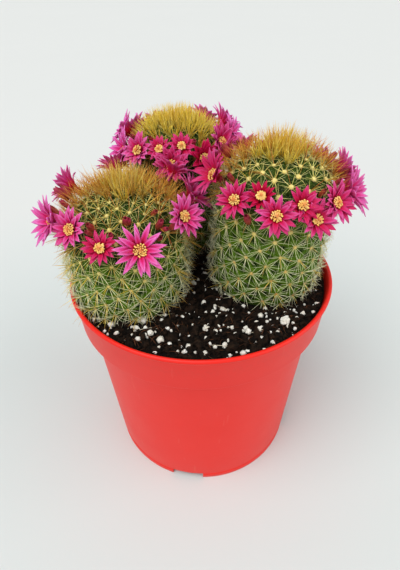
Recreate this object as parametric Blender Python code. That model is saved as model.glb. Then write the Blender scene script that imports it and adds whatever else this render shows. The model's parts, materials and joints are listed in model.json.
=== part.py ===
"""A round cactus in a nursery pot: three spiny stems, each wearing a ring of small flowers.

Lengths are in millimetres and are turned into metres when a mesh is made.
The pot stands on z = 0 with its axis on the origin, and the viewer stands towards -Y.
Run with: blender --background --python part.py
"""

import bmesh
import bpy
import numpy as np
from mathutils import Vector

MM = 0.001
GAP = 0.3                    # clearance between pieces that touch on the real plant

# Pot
POT_SIDES = 64
POT_HEIGHT = 103.3
RIM_RADIUS = 60.0
RIM_INNER_RADIUS = 58.1
LIP_HEIGHT = 1.8             # the rolled bead round the mouth
BAND_BOTTOM = 84.7           # where the wide band steps in to the wall
BAND_RADIUS = 57.8
WALL_TOP_RADIUS = 53.8
BASE_RADIUS = 48.4
WALL = 1.2
FOOT_WIDTH = 2.4
FLOOR_BOTTOM = 4.6
FOOT_LINE = 3.0              # the fine step above the foot
NOTCH_COUNT = 4
NOTCH_WIDTH = 16.0
NOTCH_HEIGHT = 3.8
NOTCH_START_DEG = -100.0
DRAIN_COUNT = 6
DRAIN_RADIUS = 4.0
DRAIN_CIRCLE = 34.0
DRAIN_START_DEG = 11.0

# Potting mix
SOIL_TOP = 99.3
SOIL_RINGS = 6
POCKET_DEPTH = 6.5

# Stems: place of the base, skin radius, height over the mix and sideways drift of the top
STEMS = {
    "left": dict(base=(-31.5, -12.3), radius=24.2, height=46.0, drift=(1.5, 4.3), area=39.0),
    "right": dict(base=(28.0, -5.2), radius=22.9, height=58.0, drift=(3.7, 2.0), area=46.0),
    "back": dict(base=(-10.0, 32.5), radius=20.4, height=59.0, drift=(0.5, 0.0), area=44.0),
}
GOLDEN_ANGLE = np.pi * (3.0 - np.sqrt(5.0))
DOME_SHARE = 0.74            # height of the rounded top, in skin radii
DOME_POWER = 2.15            # over 2, so the shoulder is fuller than an ellipse
BASE_SHARE = 0.93            # the stem narrows a little where it enters the mix
BASE_EASE = 9.0
STUB_DEPTH = 5.0
TIP_AREA = 12.0              # skin held by one areole at the growing tip, mm2
GROOVE = 1.9                 # depth of the furrows between the tubercles

# Crown of young spines
CROWN_REACH = 0.68           # radius that it covers, in skin radii
CROWN_THICK = 5.0
CROWN_THORN = 1.9
CROWN_SIDES = 18

# Flowers: azimuth about the stem, height of the face, its distance from the stem's axis, radius
# when open, and how far it looks up, in degrees
FLOWERS = {
    "left": [
        (-72, 136.0, 29.5, 9.5, 28), (-100, 137.5, 29.0, 6.5, 30), (-128, 141.0, 27.5, 6.5, 40),
        (-149, 140.5, 29.5, 8.0, 30), (157, 143.0, 26.5, 7.0, 30), (105, 145.0, 27.5, 7.0, 45),
        (38, 147.5, 25.0, 6.5, 65), (14, 140.0, 28.5, 6.5, 40), (-30, 141.5, 28.5, 7.5, 35),
    ],
    "right": [
        (-133, 148.5, 27.8, 7.5, 35), (-113, 151.5, 25.8, 5.5, 45), (-99, 146.0, 28.8, 8.0, 28),
        (-80, 149.0, 26.8, 6.0, 40), (-68, 143.5, 28.8, 7.5, 28), (-48, 147.0, 27.8, 7.0, 35),
        (-24, 146.5, 28.5, 7.5, 30), (6, 149.0, 26.6, 6.5, 35), (36, 146.5, 28.4, 6.5, 35),
        (64, 147.0, 28.2, 7.0, 35), (90, 148.0, 28.0, 7.0, 35), (117, 152.0, 27.0, 6.5, 45),
        (145, 151.5, 26.8, 6.5, 45), (-170, 151.5, 27.0, 6.5, 40),
    ],
    "back": [
        (-108, 155.0, 23.0, 6.0, 45), (-84, 156.5, 23.0, 6.0, 45), (-95, 149.5, 25.5, 7.0, 25),
        (-132, 153.5, 25.0, 6.5, 40), (-157, 150.5, 26.0, 6.5, 30), (177, 156.0, 24.5, 6.0, 40),
        (149, 152.5, 25.5, 6.5, 35), (121, 153.0, 25.2, 6.0, 40), (92, 151.0, 25.6, 6.5, 35),
        (60, 155.0, 24.8, 6.0, 42), (27, 156.0, 24.5, 6.5, 40), (-8, 154.0, 25.0, 6.5, 35),
        (-36, 155.0, 24.5, 6.0, 40), (-62, 151.0, 25.5, 6.0, 35),
    ],
}
FLOWER_PETALS = 10
FLOWER_TUBE = 1.3            # radius of the flower's foot
PETAL_CLEAR = 0.94           # share of the room between two flowers that their petals fill

# Closed buds: azimuth, height, distance from the stem's axis
BUDS = {
    "left": [(-48, 140.0, 23.0), (-80, 143.0, 20.5), (-114, 141.0, 22.5)],
    "right": [(-121, 142.0, 26.5), (168, 157.5, 21.5)],
    "back": [(76, 158.0, 20.5)],
}
BUD_RADIUS = 1.5
BUD_LENGTH = 6.0
BUD_RISE = 55.0

# The biggest grains of perlite: place and radius
PERLITE = [(33.3, -37.3, 2.2), (18.3, -41.4, 1.5), (-20.0, -41.4, 1.5), (1.7, -39.3, 1.5)]

COLOURS = {
    "pot": ((0.80, 0.055, 0.040), 0.42),
    "potting_mix": ((0.035, 0.023, 0.016), 0.95),
    "stem": ((0.135, 0.27, 0.062), 0.55),
    "crown_spines": ((0.74, 0.45, 0.13), 0.6),
    "flower": ((0.72, 0.10, 0.40), 0.5),
    "bud": ((0.24, 0.025, 0.05), 0.5),
    "perlite": ((0.86, 0.84, 0.79), 0.9),
}


def clear_scene():
    """Remove whatever the file started with."""
    for thing in list(bpy.data.objects):
        bpy.data.objects.remove(thing, do_unlink=True)


def material(name, kind):
    """A plain Principled material of this kind's colour and roughness."""
    colour, roughness = COLOURS[kind]
    made = bpy.data.materials.new(name)
    made.use_nodes = True
    shader = made.node_tree.nodes["Principled BSDF"]
    shader.inputs["Base Color"].default_value = (*colour, 1.0)
    shader.inputs["Roughness"].default_value = roughness
    shader.inputs["Metallic"].default_value = 0.0
    made.diffuse_color = (*colour, 1.0)
    return made


def closed_object(name, points, faces):
    """An object from points in millimetres and faces, with every face looking out."""
    mesh = bpy.data.meshes.new(name)
    mesh.from_pydata([tuple(float(c) * MM for c in p) for p in points], [], faces)
    shell = bmesh.new()
    shell.from_mesh(mesh)
    bmesh.ops.recalc_face_normals(shell, faces=shell.faces)
    shell.to_mesh(mesh)
    shell.free()
    made = bpy.data.objects.new(name, mesh)
    bpy.context.scene.collection.objects.link(made)
    return made


def mesh_object(name, kind, points, faces, smooth=True):
    """One piece of the plant or pot, with its own material."""
    made = closed_object(name, points, faces)
    made.data.polygons.foreach_set("use_smooth", [smooth] * len(made.data.polygons))
    made.data.materials.append(material(name, kind))
    return made


def ring(radius, height, sides):
    """Points of one level circle."""
    turn = np.arange(sides) * 2 * np.pi / sides
    return np.column_stack([radius * np.cos(turn), radius * np.sin(turn), np.full(sides, height)])


def lathe(profile, sides):
    """Points and faces of a closed section turned about Z; a section point on the axis is one point."""
    points = []
    rows = []
    for radius, height in profile:
        first = len(points)
        if radius == 0:
            points.append((0.0, 0.0, height))
            rows.append([first] * sides)
        else:
            points.extend(ring(radius, height, sides))
            rows.append(list(range(first, first + sides)))
    faces = []
    for here, there in zip(rows, rows[1:] + rows[:1]):
        for k in range(sides):
            n = (k + 1) % sides
            corner = list(dict.fromkeys([here[k], here[n], there[n], there[k]]))
            if len(corner) > 2:
                faces.append(corner)
    return points, faces


def cutter(name, points, faces):
    """A helper for a Boolean, kept out of the render."""
    made = closed_object(name, points, faces)
    made.hide_render = True
    made.display_type = "WIRE"
    return made


def cut(target, tool):
    """Take the tool out of the target."""
    boolean = target.modifiers.new(tool.name, "BOOLEAN")
    boolean.operation = "DIFFERENCE"
    boolean.solver = "EXACT"
    boolean.object = tool


# ---------------------------------------------------------------- pot


def wall_radius(height):
    """Outer radius of the tapering wall below the band."""
    return BASE_RADIUS + (WALL_TOP_RADIUS - BASE_RADIUS) * height / BAND_BOTTOM


def pot_inner_profile():
    """The inside of the pot from the floor to the mouth."""
    floor = FLOOR_BOTTOM + WALL
    return [
        (wall_radius(floor) - WALL, floor),
        (WALL_TOP_RADIUS - WALL, BAND_BOTTOM - 0.6),
        (BAND_RADIUS - WALL, BAND_BOTTOM + WALL),
        (RIM_INNER_RADIUS - 0.1, POT_HEIGHT - LIP_HEIGHT),
    ]


def pot_profile():
    """The pot's whole section, from the middle of the floor's underside round to its upper side."""
    lip_bottom = POT_HEIGHT - LIP_HEIGHT
    outer = [
        (0.0, FLOOR_BOTTOM),
        (BASE_RADIUS - FOOT_WIDTH - 0.4, FLOOR_BOTTOM),
        (BASE_RADIUS - FOOT_WIDTH, 0.0),
        (BASE_RADIUS, 0.0),
        (wall_radius(FOOT_LINE), FOOT_LINE),
        (wall_radius(FOOT_LINE) - 0.3, FOOT_LINE + 0.3),
        (WALL_TOP_RADIUS, BAND_BOTTOM - 1.2),
        (WALL_TOP_RADIUS + 0.5, BAND_BOTTOM - 0.2),
        (BAND_RADIUS - 0.6, BAND_BOTTOM),
        (BAND_RADIUS, BAND_BOTTOM + 0.6),
        (RIM_RADIUS - 0.9, lip_bottom - 0.2),
        (RIM_RADIUS, lip_bottom + 0.5),
        (RIM_RADIUS - 0.25, POT_HEIGHT - 0.35),
        (RIM_RADIUS - 0.9, POT_HEIGHT),
        (RIM_INNER_RADIUS + 0.2, POT_HEIGHT - 0.15),
    ]
    return outer + pot_inner_profile()[::-1] + [(0.0, FLOOR_BOTTOM + WALL)]


def make_pot():
    """The moulded pot, with notches in its foot and drain holes in its floor."""
    pot = mesh_object("pot", "pot", *lathe(pot_profile(), POT_SIDES))
    for k in range(NOTCH_COUNT):
        turn = np.radians(NOTCH_START_DEG + 360.0 / NOTCH_COUNT * k)
        across = np.array([-np.sin(turn), np.cos(turn), 0.0]) * NOTCH_WIDTH / 2
        near = np.array([np.cos(turn), np.sin(turn), 0.0]) * (BASE_RADIUS - 6.0)
        far = np.array([np.cos(turn), np.sin(turn), 0.0]) * (BASE_RADIUS + 4.0)
        corners = [near - across, near + across, far + across, far - across]
        low = [c - (0, 0, 2.0) for c in corners]
        high = [c + (0, 0, NOTCH_HEIGHT) for c in corners]
        box = [(0, 1, 2, 3), (7, 6, 5, 4), (0, 4, 5, 1), (1, 5, 6, 2), (2, 6, 7, 3), (3, 7, 4, 0)]
        cut(pot, cutter(f"foot_notch_cutter_{k + 1}", low + high, box))
    for k in range(DRAIN_COUNT):
        turn = np.radians(DRAIN_START_DEG + 360.0 / DRAIN_COUNT * k)
        place = np.array([np.cos(turn), np.sin(turn), 0.0]) * DRAIN_CIRCLE
        points, faces = lathe([(0, 2.0), (DRAIN_RADIUS, 2.0), (DRAIN_RADIUS, 8.0), (0, 8.0)], 16)
        cut(pot, cutter(f"drain_cutter_{k + 1}", np.array(points) + place, faces))
    return pot


# ---------------------------------------------------------------- potting mix


def soil_height(x, y):
    """Height of the mix's gently uneven top."""
    return SOIL_TOP + 0.5 * np.sin(x / 9.0 + 0.6) * np.cos(y / 11.0) + 0.3 * np.sin((x + 2 * y) / 7.0)


def make_potting_mix():
    """The plug of mix that fills the pot, with a pocket for each stem."""
    inner = pot_inner_profile()
    bottom = inner[0][1] + GAP
    profile = [(0.0, bottom), (inner[0][0] - GAP, bottom)] + [(r - GAP, h) for r, h in inner[1:3]]
    low, top = inner[2], inner[3]
    edge = low[0] + (top[0] - low[0]) * (SOIL_TOP - low[1]) / (top[1] - low[1]) - GAP - 0.1
    surface = [(edge * (SOIL_RINGS - k) / SOIL_RINGS, SOIL_TOP) for k in range(SOIL_RINGS)]
    points, faces = lathe(profile + surface + [(0.0, SOIL_TOP)], POT_SIDES)
    points = np.array(points, dtype=float)
    flat = np.isclose(points[:, 2], SOIL_TOP)
    points[flat, 2] = soil_height(points[flat, 0], points[flat, 1])
    mix = mesh_object("potting_mix", "potting_mix", points, faces)
    for side, stem in STEMS.items():
        radius = stem["radius"] * (BASE_SHARE + 0.025) + GAP
        bottom = SOIL_TOP - POCKET_DEPTH
        hole = [(0, bottom), (radius, bottom), (radius, SOIL_TOP + 5.0), (0, SOIL_TOP + 5.0)]
        points, faces = lathe(hole, 40)
        cut(mix, cutter(f"pocket_cutter_{side}", np.array(points) + (*stem["base"], 0.0), faces))
    return mix


# ---------------------------------------------------------------- stems


def stem_profile(stem, steps=400):
    """Radius and height over the base of the skin, sampled from the tip down, with the run of the curve."""
    radius, height = stem["radius"], stem["height"]
    rise = radius * DOME_SHARE
    swing = np.linspace(0.0, np.pi / 2, steps)
    dome_r = radius * np.sin(swing) ** (2 / DOME_POWER)
    dome_z = height - rise + rise * np.cos(swing) ** (2 / DOME_POWER)
    side_z = np.linspace(height - rise, 0.0, steps)[1:]
    ease = np.clip(side_z / BASE_EASE, 0.0, 1.0)
    side_r = radius * (BASE_SHARE + (1 - BASE_SHARE) * (1 - (1 - ease) ** 2))
    r = np.concatenate([dome_r, side_r])
    z = np.concatenate([dome_z, side_z])
    run = np.concatenate([[0.0], np.cumsum(np.hypot(np.diff(r), np.diff(z)))])
    return r, z, run


def areoles(stem):
    """Azimuth and run of every areole: each turns by the golden angle from the last, from the tip down."""
    r, _, run = stem_profile(stem)
    shoulder = run[np.argmax(r)]
    area = TIP_AREA + (stem["area"] - TIP_AREA) * np.clip(run / shoulder, 0.0, 1.0)
    rate = 2 * np.pi * r / area
    count = np.concatenate([[0.0], np.cumsum((rate[1:] + rate[:-1]) / 2 * np.diff(run))])
    order = np.arange(int(count[-1] - 0.5)) + 0.5
    return order * GOLDEN_ANGLE, np.interp(order, count, run)


def place_on_stem(stem, azimuth, run, lift=0.0):
    """Points at these azimuths and runs, lifted off the skin, in the stem's own frame."""
    r, z, along = stem_profile(stem)
    slope_r = np.gradient(r, along)
    slope_z = np.gradient(z, along)
    radius = np.interp(run, along, r) - lift * np.interp(run, along, slope_z)
    height = np.interp(run, along, z) + lift * np.interp(run, along, slope_r)
    drift = np.array(stem["drift"]) / stem["height"]
    return np.column_stack([
        radius * np.cos(azimuth) + drift[0] * height,
        radius * np.sin(azimuth) + drift[1] * height,
        height,
    ])


def even_sphere(stem, azimuth, run):
    """The areoles carried to a ball by the map that keeps angles, so that its hull joins true neighbours."""
    r, _, along = stem_profile(stem)
    stretch = np.log(along[1]) + np.concatenate(
        [[0.0], np.cumsum(2 * np.diff(along[1:]) / (r[1:-1] + r[2:]))]
    )
    level = np.interp(run, along[1:], stretch)
    polar = 2 * np.arctan(np.exp(level - stretch[-1] + 1.0))
    return np.column_stack(
        [np.sin(polar) * np.cos(azimuth), np.sin(polar) * np.sin(azimuth), np.cos(polar)]
    )


def make_stem(side):
    """One stem: a tubercle under every areole, furrows between them and a smooth stub in the mix."""
    stem = STEMS[side]
    azimuth, run = areoles(stem)
    skin = place_on_stem(stem, azimuth, run)
    ball = even_sphere(stem, azimuth, run)
    stub_sides = 13
    stub = ring(stem["radius"] * (BASE_SHARE - 0.12), -STUB_DEPTH, stub_sides)
    low_ball = ring(0.22, -np.sqrt(1 - 0.22 ** 2), stub_sides)
    skin = np.vstack([skin, stub, [[0.0, 0.0, -STUB_DEPTH]]])
    ball = np.vstack([ball, low_ball, [[0.0, 0.0, -1.0]]])
    shell = bmesh.new()
    corners = [shell.verts.new(tuple(p)) for p in ball]
    bmesh.ops.convex_hull(shell, input=corners)
    for corner, place in zip(corners, skin):
        corner.co = Vector(place)
    bmesh.ops.triangulate(shell, faces=shell.faces)
    grown = set(corners[: len(azimuth)])
    furrowed = [f for f in shell.faces if set(f.verts) <= grown]
    bmesh.ops.poke(shell, faces=furrowed, offset=-GROOVE)
    shell.verts.index_update()
    points = [tuple(v.co) for v in shell.verts]
    faces = [[v.index for v in f.verts] for f in shell.faces]
    shell.free()
    made = mesh_object(f"stem_{side}", "stem", points, faces, smooth=False)
    made.location = (stem["base"][0] * MM, stem["base"][1] * MM, SOIL_TOP * MM)
    return made


def make_crown(side, parent):
    """The dome of crowded young spines over the tip, with thorny points standing out of it."""
    stem = STEMS[side]
    _, _, along = stem_profile(stem)
    reach = stem["radius"] * CROWN_REACH
    turn = np.arange(CROWN_SIDES) * 2 * np.pi / CROWN_SIDES
    levels = [(0.0, GAP + 0.1), (0.4, GAP + 0.1), (0.75, GAP + 0.1), (1.0, GAP + 0.2)]
    levels += [(1.04, CROWN_THICK * 0.55), (0.78, CROWN_THICK * 0.9), (0.42, CROWN_THICK), (0.0, CROWN_THICK)]
    points = []
    rows = []
    for share, lift in levels:
        first = len(points)
        if share == 0.0:
            points.extend(place_on_stem(stem, np.zeros(1), np.zeros(1), lift))
            rows.append([first] * CROWN_SIDES)
        else:
            runs = np.full(CROWN_SIDES, share * reach)
            points.extend(place_on_stem(stem, turn, runs, lift))
            rows.append(list(range(first, first + CROWN_SIDES)))
    faces = []
    for here, there in zip(rows, rows[1:]):
        for k in range(CROWN_SIDES):
            n = (k + 1) % CROWN_SIDES
            faces.append(list(dict.fromkeys([here[k], here[n], there[n], there[k]])))
    made = mesh_object(f"crown_spines_{side}", "crown_spines", points, faces, smooth=False)
    thorns = bmesh.new()
    thorns.from_mesh(made.data)
    thorns.faces.ensure_lookup_table()
    outer = [f for f in thorns.faces if f.index >= CROWN_SIDES * 4]
    bmesh.ops.poke(thorns, faces=outer, offset=CROWN_THORN * MM)
    thorns.to_mesh(made.data)
    thorns.free()
    made.parent = parent
    return made


# ---------------------------------------------------------------- flowers and buds


def skin_distance(side, point):
    """How far a point of the pot's frame stands off this stem's skin."""
    stem = STEMS[side]
    r, z, _ = stem_profile(stem, 80)
    level = point[2] - SOIL_TOP
    centre = np.array(stem["base"]) + np.array(stem["drift"]) * level / stem["height"]
    radius = np.hypot(*(point[:2] - centre))
    gaps = np.hypot(r - radius, z - level)
    nearest = int(np.argmin(gaps))
    return gaps[nearest] if radius > r[nearest] or level > z[nearest] else 0.0


def on_stem(side, azimuth, height, away):
    """A point of the pot's frame at this azimuth, height and distance from the stem's axis."""
    stem = STEMS[side]
    turn = np.radians(azimuth)
    share = (height - SOIL_TOP) / stem["height"]
    return np.array([
        stem["base"][0] + stem["drift"][0] * share + away * np.cos(turn),
        stem["base"][1] + stem["drift"][1] * share + away * np.sin(turn),
        height,
    ])


def look_of(azimuth, rise):
    """Unit vector at this azimuth and angle above level."""
    turn, up = np.radians(azimuth), np.radians(rise)
    return np.array([np.cos(turn) * np.cos(up), np.sin(turn) * np.cos(up), np.sin(up)])


def open_radius(side, index):
    """A flower's petals stop where its neighbours, or another stem, begin."""
    azimuth, height, away, own, _ = FLOWERS[side][index]
    middle = on_stem(side, azimuth, height, away)
    room = own
    for other_side, others in FLOWERS.items():
        for k, (turn, level, far, other, _) in enumerate(others):
            if (other_side, k) != (side, index):
                gap = np.linalg.norm(on_stem(other_side, turn, level, far) - middle)
                room = min(room, gap * PETAL_CLEAR * own / (own + other))
        if other_side != side:
            room = min(room, skin_distance(other_side, middle) - GAP)
    return room


def aim(made, stem, middle, look, length):
    """Hang an object on its stem, its own +Z looking this way and its far end at the middle."""
    made.parent = stem
    made.rotation_mode = "QUATERNION"
    made.rotation_quaternion = Vector(look).to_track_quat("Z", "Y")
    made.location = Vector((middle - look * length) * MM) - stem.location


def make_flower(side, index, stem):
    """One flower: a short tube that opens into a star of pointed petals round a hollow throat."""
    azimuth, height, away, _, rise = FLOWERS[side][index]
    middle = on_stem(side, azimuth, height, away)
    look = look_of(azimuth, rise)
    radius = open_radius(side, index)
    length = 2.0
    while length < 14.0 and skin_distance(side, middle - look * length) > FLOWER_TUBE + GAP:
        length += 0.2
    foot = ring(FLOWER_TUBE, 0.0, FLOWER_PETALS)
    star = ring(radius, length, 2 * FLOWER_PETALS)
    star[1::2, :2] *= 0.58
    star[1::2, 2] -= radius * 0.12
    points = list(foot) + list(star) + [(0.0, 0.0, length * 0.62)]
    faces = [list(range(FLOWER_PETALS))[::-1]]
    throat = len(points) - 1
    for k in range(FLOWER_PETALS):
        n = (k + 1) % FLOWER_PETALS
        tip, notch, tip_next = (FLOWER_PETALS + j for j in (2 * k, 2 * k + 1, 2 * n))
        faces += [(k, notch, tip), (k, n, notch), (n, tip_next, notch)]
        faces += [(throat, tip, notch), (throat, notch, tip_next)]
    made = mesh_object(f"flower_{side}_{index + 1:02d}", "flower", points, faces, smooth=False)
    aim(made, stem, middle, look, length)
    return made


def make_bud(side, index, stem):
    """One closed bud, a pointed oval."""
    azimuth, height, away = BUDS[side][index]
    profile = [(0, 0), (0.62, 0.12), (1.0, 0.42), (0.78, 0.75), (0, 1.0)]
    profile = [(r * BUD_RADIUS, h * BUD_LENGTH) for r, h in profile]
    made = mesh_object(f"bud_{side}_{index + 1}", "bud", *lathe(profile, 8))
    middle = on_stem(side, azimuth, height, away)
    look = look_of(azimuth, BUD_RISE)
    aim(made, stem, middle + look * BUD_LENGTH / 2, look, BUD_LENGTH)
    return made


def make_perlite(index):
    """One rough grain lying on the mix."""
    x, y, radius = PERLITE[index]
    grain = bmesh.new()
    bmesh.ops.create_icosphere(grain, subdivisions=1, radius=radius)
    for k, corner in enumerate(grain.verts):
        corner.co *= 1.0 + 0.16 * np.sin(5.1 * k + 2.3 * index)
    grain.verts.index_update()
    points = np.array([tuple(v.co) for v in grain.verts])
    points[:, 2] *= 0.7
    faces = [[v.index for v in f.verts] for f in grain.faces]
    grain.free()
    made = mesh_object(f"perlite_grain_{index + 1}", "perlite", points, faces, smooth=False)
    under = soil_height(x + radius * np.cos(np.arange(6)), y + radius * np.sin(np.arange(6))).max()
    rest = max(under, soil_height(x, y)) + 2 * GAP
    made.location = (x * MM, y * MM, (rest - points[:, 2].min()) * MM)
    return made


def build():
    """Every piece, from the pot up."""
    clear_scene()
    make_pot()
    make_potting_mix()
    for index in range(len(PERLITE)):
        make_perlite(index)
    for side in STEMS:
        stem = make_stem(side)
        make_crown(side, stem)
        for index in range(len(FLOWERS[side])):
            make_flower(side, index, stem)
        for index in range(len(BUDS[side])):
            make_bud(side, index, stem)


build()
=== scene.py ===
# %% [markdown]
# # A round cactus in flower, in a nursery pot
# Three spiny stems stand in one red pot of gritty mix, and each wears a ring of small magenta flowers.
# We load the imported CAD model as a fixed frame, then give every piece its real surface: the moulded pot,
# the loose mix, the knobbly green flesh, the thousands of spines, and the flowers petal by petal.
# Everything is in metres, in the CAD's own frame: the pot stands on z = 0 with its axis on the origin.

import json
import math

import bpy
import numpy as np
from mathutils import Matrix, Vector, noise
from mathutils.bvhtree import BVHTree

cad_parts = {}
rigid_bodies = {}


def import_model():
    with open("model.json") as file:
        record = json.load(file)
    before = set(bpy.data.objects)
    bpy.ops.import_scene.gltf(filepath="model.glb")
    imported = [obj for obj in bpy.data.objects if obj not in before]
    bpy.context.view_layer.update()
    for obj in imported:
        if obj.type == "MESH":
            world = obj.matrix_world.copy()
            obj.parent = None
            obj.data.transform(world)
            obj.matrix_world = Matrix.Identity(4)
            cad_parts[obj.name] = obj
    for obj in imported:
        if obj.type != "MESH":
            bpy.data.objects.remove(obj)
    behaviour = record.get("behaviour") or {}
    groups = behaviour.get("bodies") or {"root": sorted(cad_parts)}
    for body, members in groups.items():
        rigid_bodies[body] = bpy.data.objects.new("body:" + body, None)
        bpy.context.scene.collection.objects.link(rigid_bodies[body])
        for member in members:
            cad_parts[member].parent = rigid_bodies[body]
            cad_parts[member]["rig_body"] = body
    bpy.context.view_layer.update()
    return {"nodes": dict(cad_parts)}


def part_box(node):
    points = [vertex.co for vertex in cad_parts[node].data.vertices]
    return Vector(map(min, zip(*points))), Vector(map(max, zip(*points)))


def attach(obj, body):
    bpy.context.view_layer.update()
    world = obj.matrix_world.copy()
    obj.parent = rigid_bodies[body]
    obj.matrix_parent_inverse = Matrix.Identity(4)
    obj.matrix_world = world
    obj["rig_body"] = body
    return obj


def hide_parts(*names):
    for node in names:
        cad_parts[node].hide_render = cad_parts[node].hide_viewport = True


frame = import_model()
MM = 0.001
MERGE_GAP = 0.01 * MM
SEED = 20
rng = np.random.default_rng(SEED)

# %% [markdown]
# ## Small helpers
# Blender's operators act on whatever is selected, and loading the frame leaves its nodes selected.
# So we always clear the selection first, and pick faces or points in code by where they are.


# %% Selection helpers
def only(thing):
    """Make this the one selected and active object."""
    if bpy.context.mode != "OBJECT":
        bpy.ops.object.mode_set(mode="OBJECT")
    bpy.ops.object.select_all(action="DESELECT")
    thing.select_set(True)
    bpy.context.view_layer.objects.active = thing
    return thing


def edit(thing, kind="VERT"):
    """Open a mesh for editing with nothing selected."""
    only(thing)
    bpy.ops.object.mode_set(mode="EDIT")
    bpy.ops.mesh.select_mode(type=kind)
    bpy.ops.mesh.select_all(action="DESELECT")


def pick(thing, test, kind="VERT"):
    """Select the points, or the faces, whose place passes the test."""
    bpy.ops.object.mode_set(mode="OBJECT")
    for corner in thing.data.vertices:
        corner.select = False
    for line in thing.data.edges:
        line.select = False
    for face in thing.data.polygons:
        face.select = False
    found = thing.data.vertices if kind == "VERT" else thing.data.polygons
    for item in found:
        item.select = bool(test(item.co if kind == "VERT" else item.center))
    bpy.ops.object.mode_set(mode="EDIT")
    bpy.ops.mesh.select_mode(type=kind)


def apply_all(thing):
    """Apply this object's modifiers, then its place, turn and size."""
    only(thing)
    for modifier in list(thing.modifiers):
        bpy.ops.object.modifier_apply(modifier=modifier.name)
    bpy.ops.object.transform_apply(location=True, rotation=True, scale=True)


def coords(thing):
    """A mesh's points as an array."""
    flat = np.empty(len(thing.data.vertices) * 3)
    thing.data.vertices.foreach_get("co", flat)
    return flat.reshape(-1, 3)


def set_coords(thing, points):
    """Put an array of points back on a mesh."""
    thing.data.vertices.foreach_set("co", np.asarray(points, dtype=float).ravel())
    thing.data.update()


def finish(thing, slot, *nodes):
    """Ride on the CAD body and stand in for these CAD nodes; the slot argument is not used."""
    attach(thing, "root")
    if nodes:
        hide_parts(*nodes)
    print(thing.name, len(thing.data.polygons), "faces")
    return thing


# %% [markdown]
# Thousands of spines, petals and grains are copies of a few patterns. A pattern is modelled once,
# then its points are copied to every place in one array sum, which is far quicker than joining objects.


# %% Copying a pattern
def face_table(pattern):
    """A pattern's faces as flat arrays: how many corners each has, and the corners."""
    sizes = np.array([len(face.vertices) for face in pattern.data.polygons])
    corners = np.concatenate([list(face.vertices) for face in pattern.data.polygons])
    return sizes, corners


def mesh_from(name, points, sizes, corners, smooth=True):
    """A new object from points and flat face arrays."""
    mesh = bpy.data.meshes.new(name)
    mesh.vertices.add(len(points))
    mesh.vertices.foreach_set("co", np.asarray(points, dtype=float).ravel())
    mesh.loops.add(len(corners))
    mesh.loops.foreach_set("vertex_index", np.asarray(corners, dtype=np.int32))
    mesh.polygons.add(len(sizes))
    starts = np.concatenate([[0], np.cumsum(sizes)[:-1]]).astype(np.int32)
    mesh.polygons.foreach_set("loop_start", starts)
    mesh.polygons.foreach_set("loop_total", np.asarray(sizes, dtype=np.int32))
    mesh.polygons.foreach_set("use_smooth", np.full(len(sizes), smooth))
    mesh.update(calc_edges=True)
    thing = bpy.data.objects.new(name, mesh)
    bpy.context.scene.collection.objects.link(thing)
    return thing


def copies(name, pattern, points, smooth=True, **traits):
    """One mesh of many copies: points is copies x pattern points x 3, and a trait has one value a point."""
    sizes, corners = face_table(pattern)
    count, per_copy = points.shape[:2]
    shift = np.arange(count)[:, None] * per_copy
    thing = mesh_from(
        name, points.reshape(-1, 3), np.tile(sizes, count), (corners[None] + shift).ravel(), smooth
    )
    for trait, values in traits.items():
        spread = np.broadcast_to(np.asarray(values, dtype=np.float32).reshape(count, -1), (count, per_copy))
        layer = thing.data.attributes.new(trait, "FLOAT", "POINT")
        layer.data.foreach_set("value", np.ascontiguousarray(spread).ravel())
    return thing


def drop(*patterns):
    """Remove patterns that have been copied."""
    for pattern in patterns:
        bpy.data.objects.remove(pattern, do_unlink=True)


# %% [markdown]
# ## Shader tools
# Natural surfaces are never one flat colour. Two node groups are shared by most finishes here:
# `mottle` drifts between two colours in soft patches, and `grain` gives the height of a fine roughness.
# Both read Object coordinates, so the pattern keeps its real size on every piece.


# %% Node helpers
def new_finish(name, roughness=0.5, **fixed):
    """A material with its Principled shader; fixed values go straight on the shader's sockets."""
    finish_material = bpy.data.materials.new(name)
    finish_material.use_nodes = True
    tree = finish_material.node_tree
    shader = tree.nodes["Principled BSDF"]
    shader.inputs["Roughness"].default_value = roughness
    for socket, value in fixed.items():
        shader.inputs[socket.replace("_", " ")].default_value = value
    return finish_material, tree, shader


def node(tree, kind, **values):
    """Add a node, set its own properties, and fill its sockets by name."""
    made = tree.nodes.new(kind)
    for key, value in values.items():
        if hasattr(made, key):
            setattr(made, key, value)
        else:
            made.inputs[key.replace("_", " ")].default_value = value
    return made


def trait(tree, name):
    """The value of a trait stored on the mesh's points."""
    return node(tree, "ShaderNodeAttribute", attribute_name=name).outputs["Fac"]


def blend(tree, amount, first, second):
    """Mix two colours, either fixed or from other nodes."""
    mixer = tree.nodes.new("ShaderNodeMix")
    mixer.data_type = "RGBA"
    for socket, value in ((0, amount), (6, first), (7, second)):
        if isinstance(value, bpy.types.NodeSocket):
            tree.links.new(value, mixer.inputs[socket])
        elif socket == 0:
            mixer.inputs[socket].default_value = value
        else:
            mixer.inputs[socket].default_value = (*value, 1.0)
    return mixer.outputs[2]


def ramp(tree, source, low, high, start=0.0, end=1.0):
    """Stretch a value so that low becomes start and high becomes end."""
    stretch = tree.nodes.new("ShaderNodeMapRange")
    stretch.inputs["From Min"].default_value = low
    stretch.inputs["From Max"].default_value = high
    stretch.inputs["To Min"].default_value = start
    stretch.inputs["To Max"].default_value = end
    tree.links.new(source, stretch.inputs["Value"])
    return stretch.outputs["Result"]


def combine(tree, operation, first, second):
    """Arithmetic on two values."""
    sum_node = tree.nodes.new("ShaderNodeMath")
    sum_node.operation = operation
    for index, value in enumerate((first, second)):
        if isinstance(value, bpy.types.NodeSocket):
            tree.links.new(value, sum_node.inputs[index])
        else:
            sum_node.inputs[index].default_value = value
    return sum_node.outputs[0]


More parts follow.
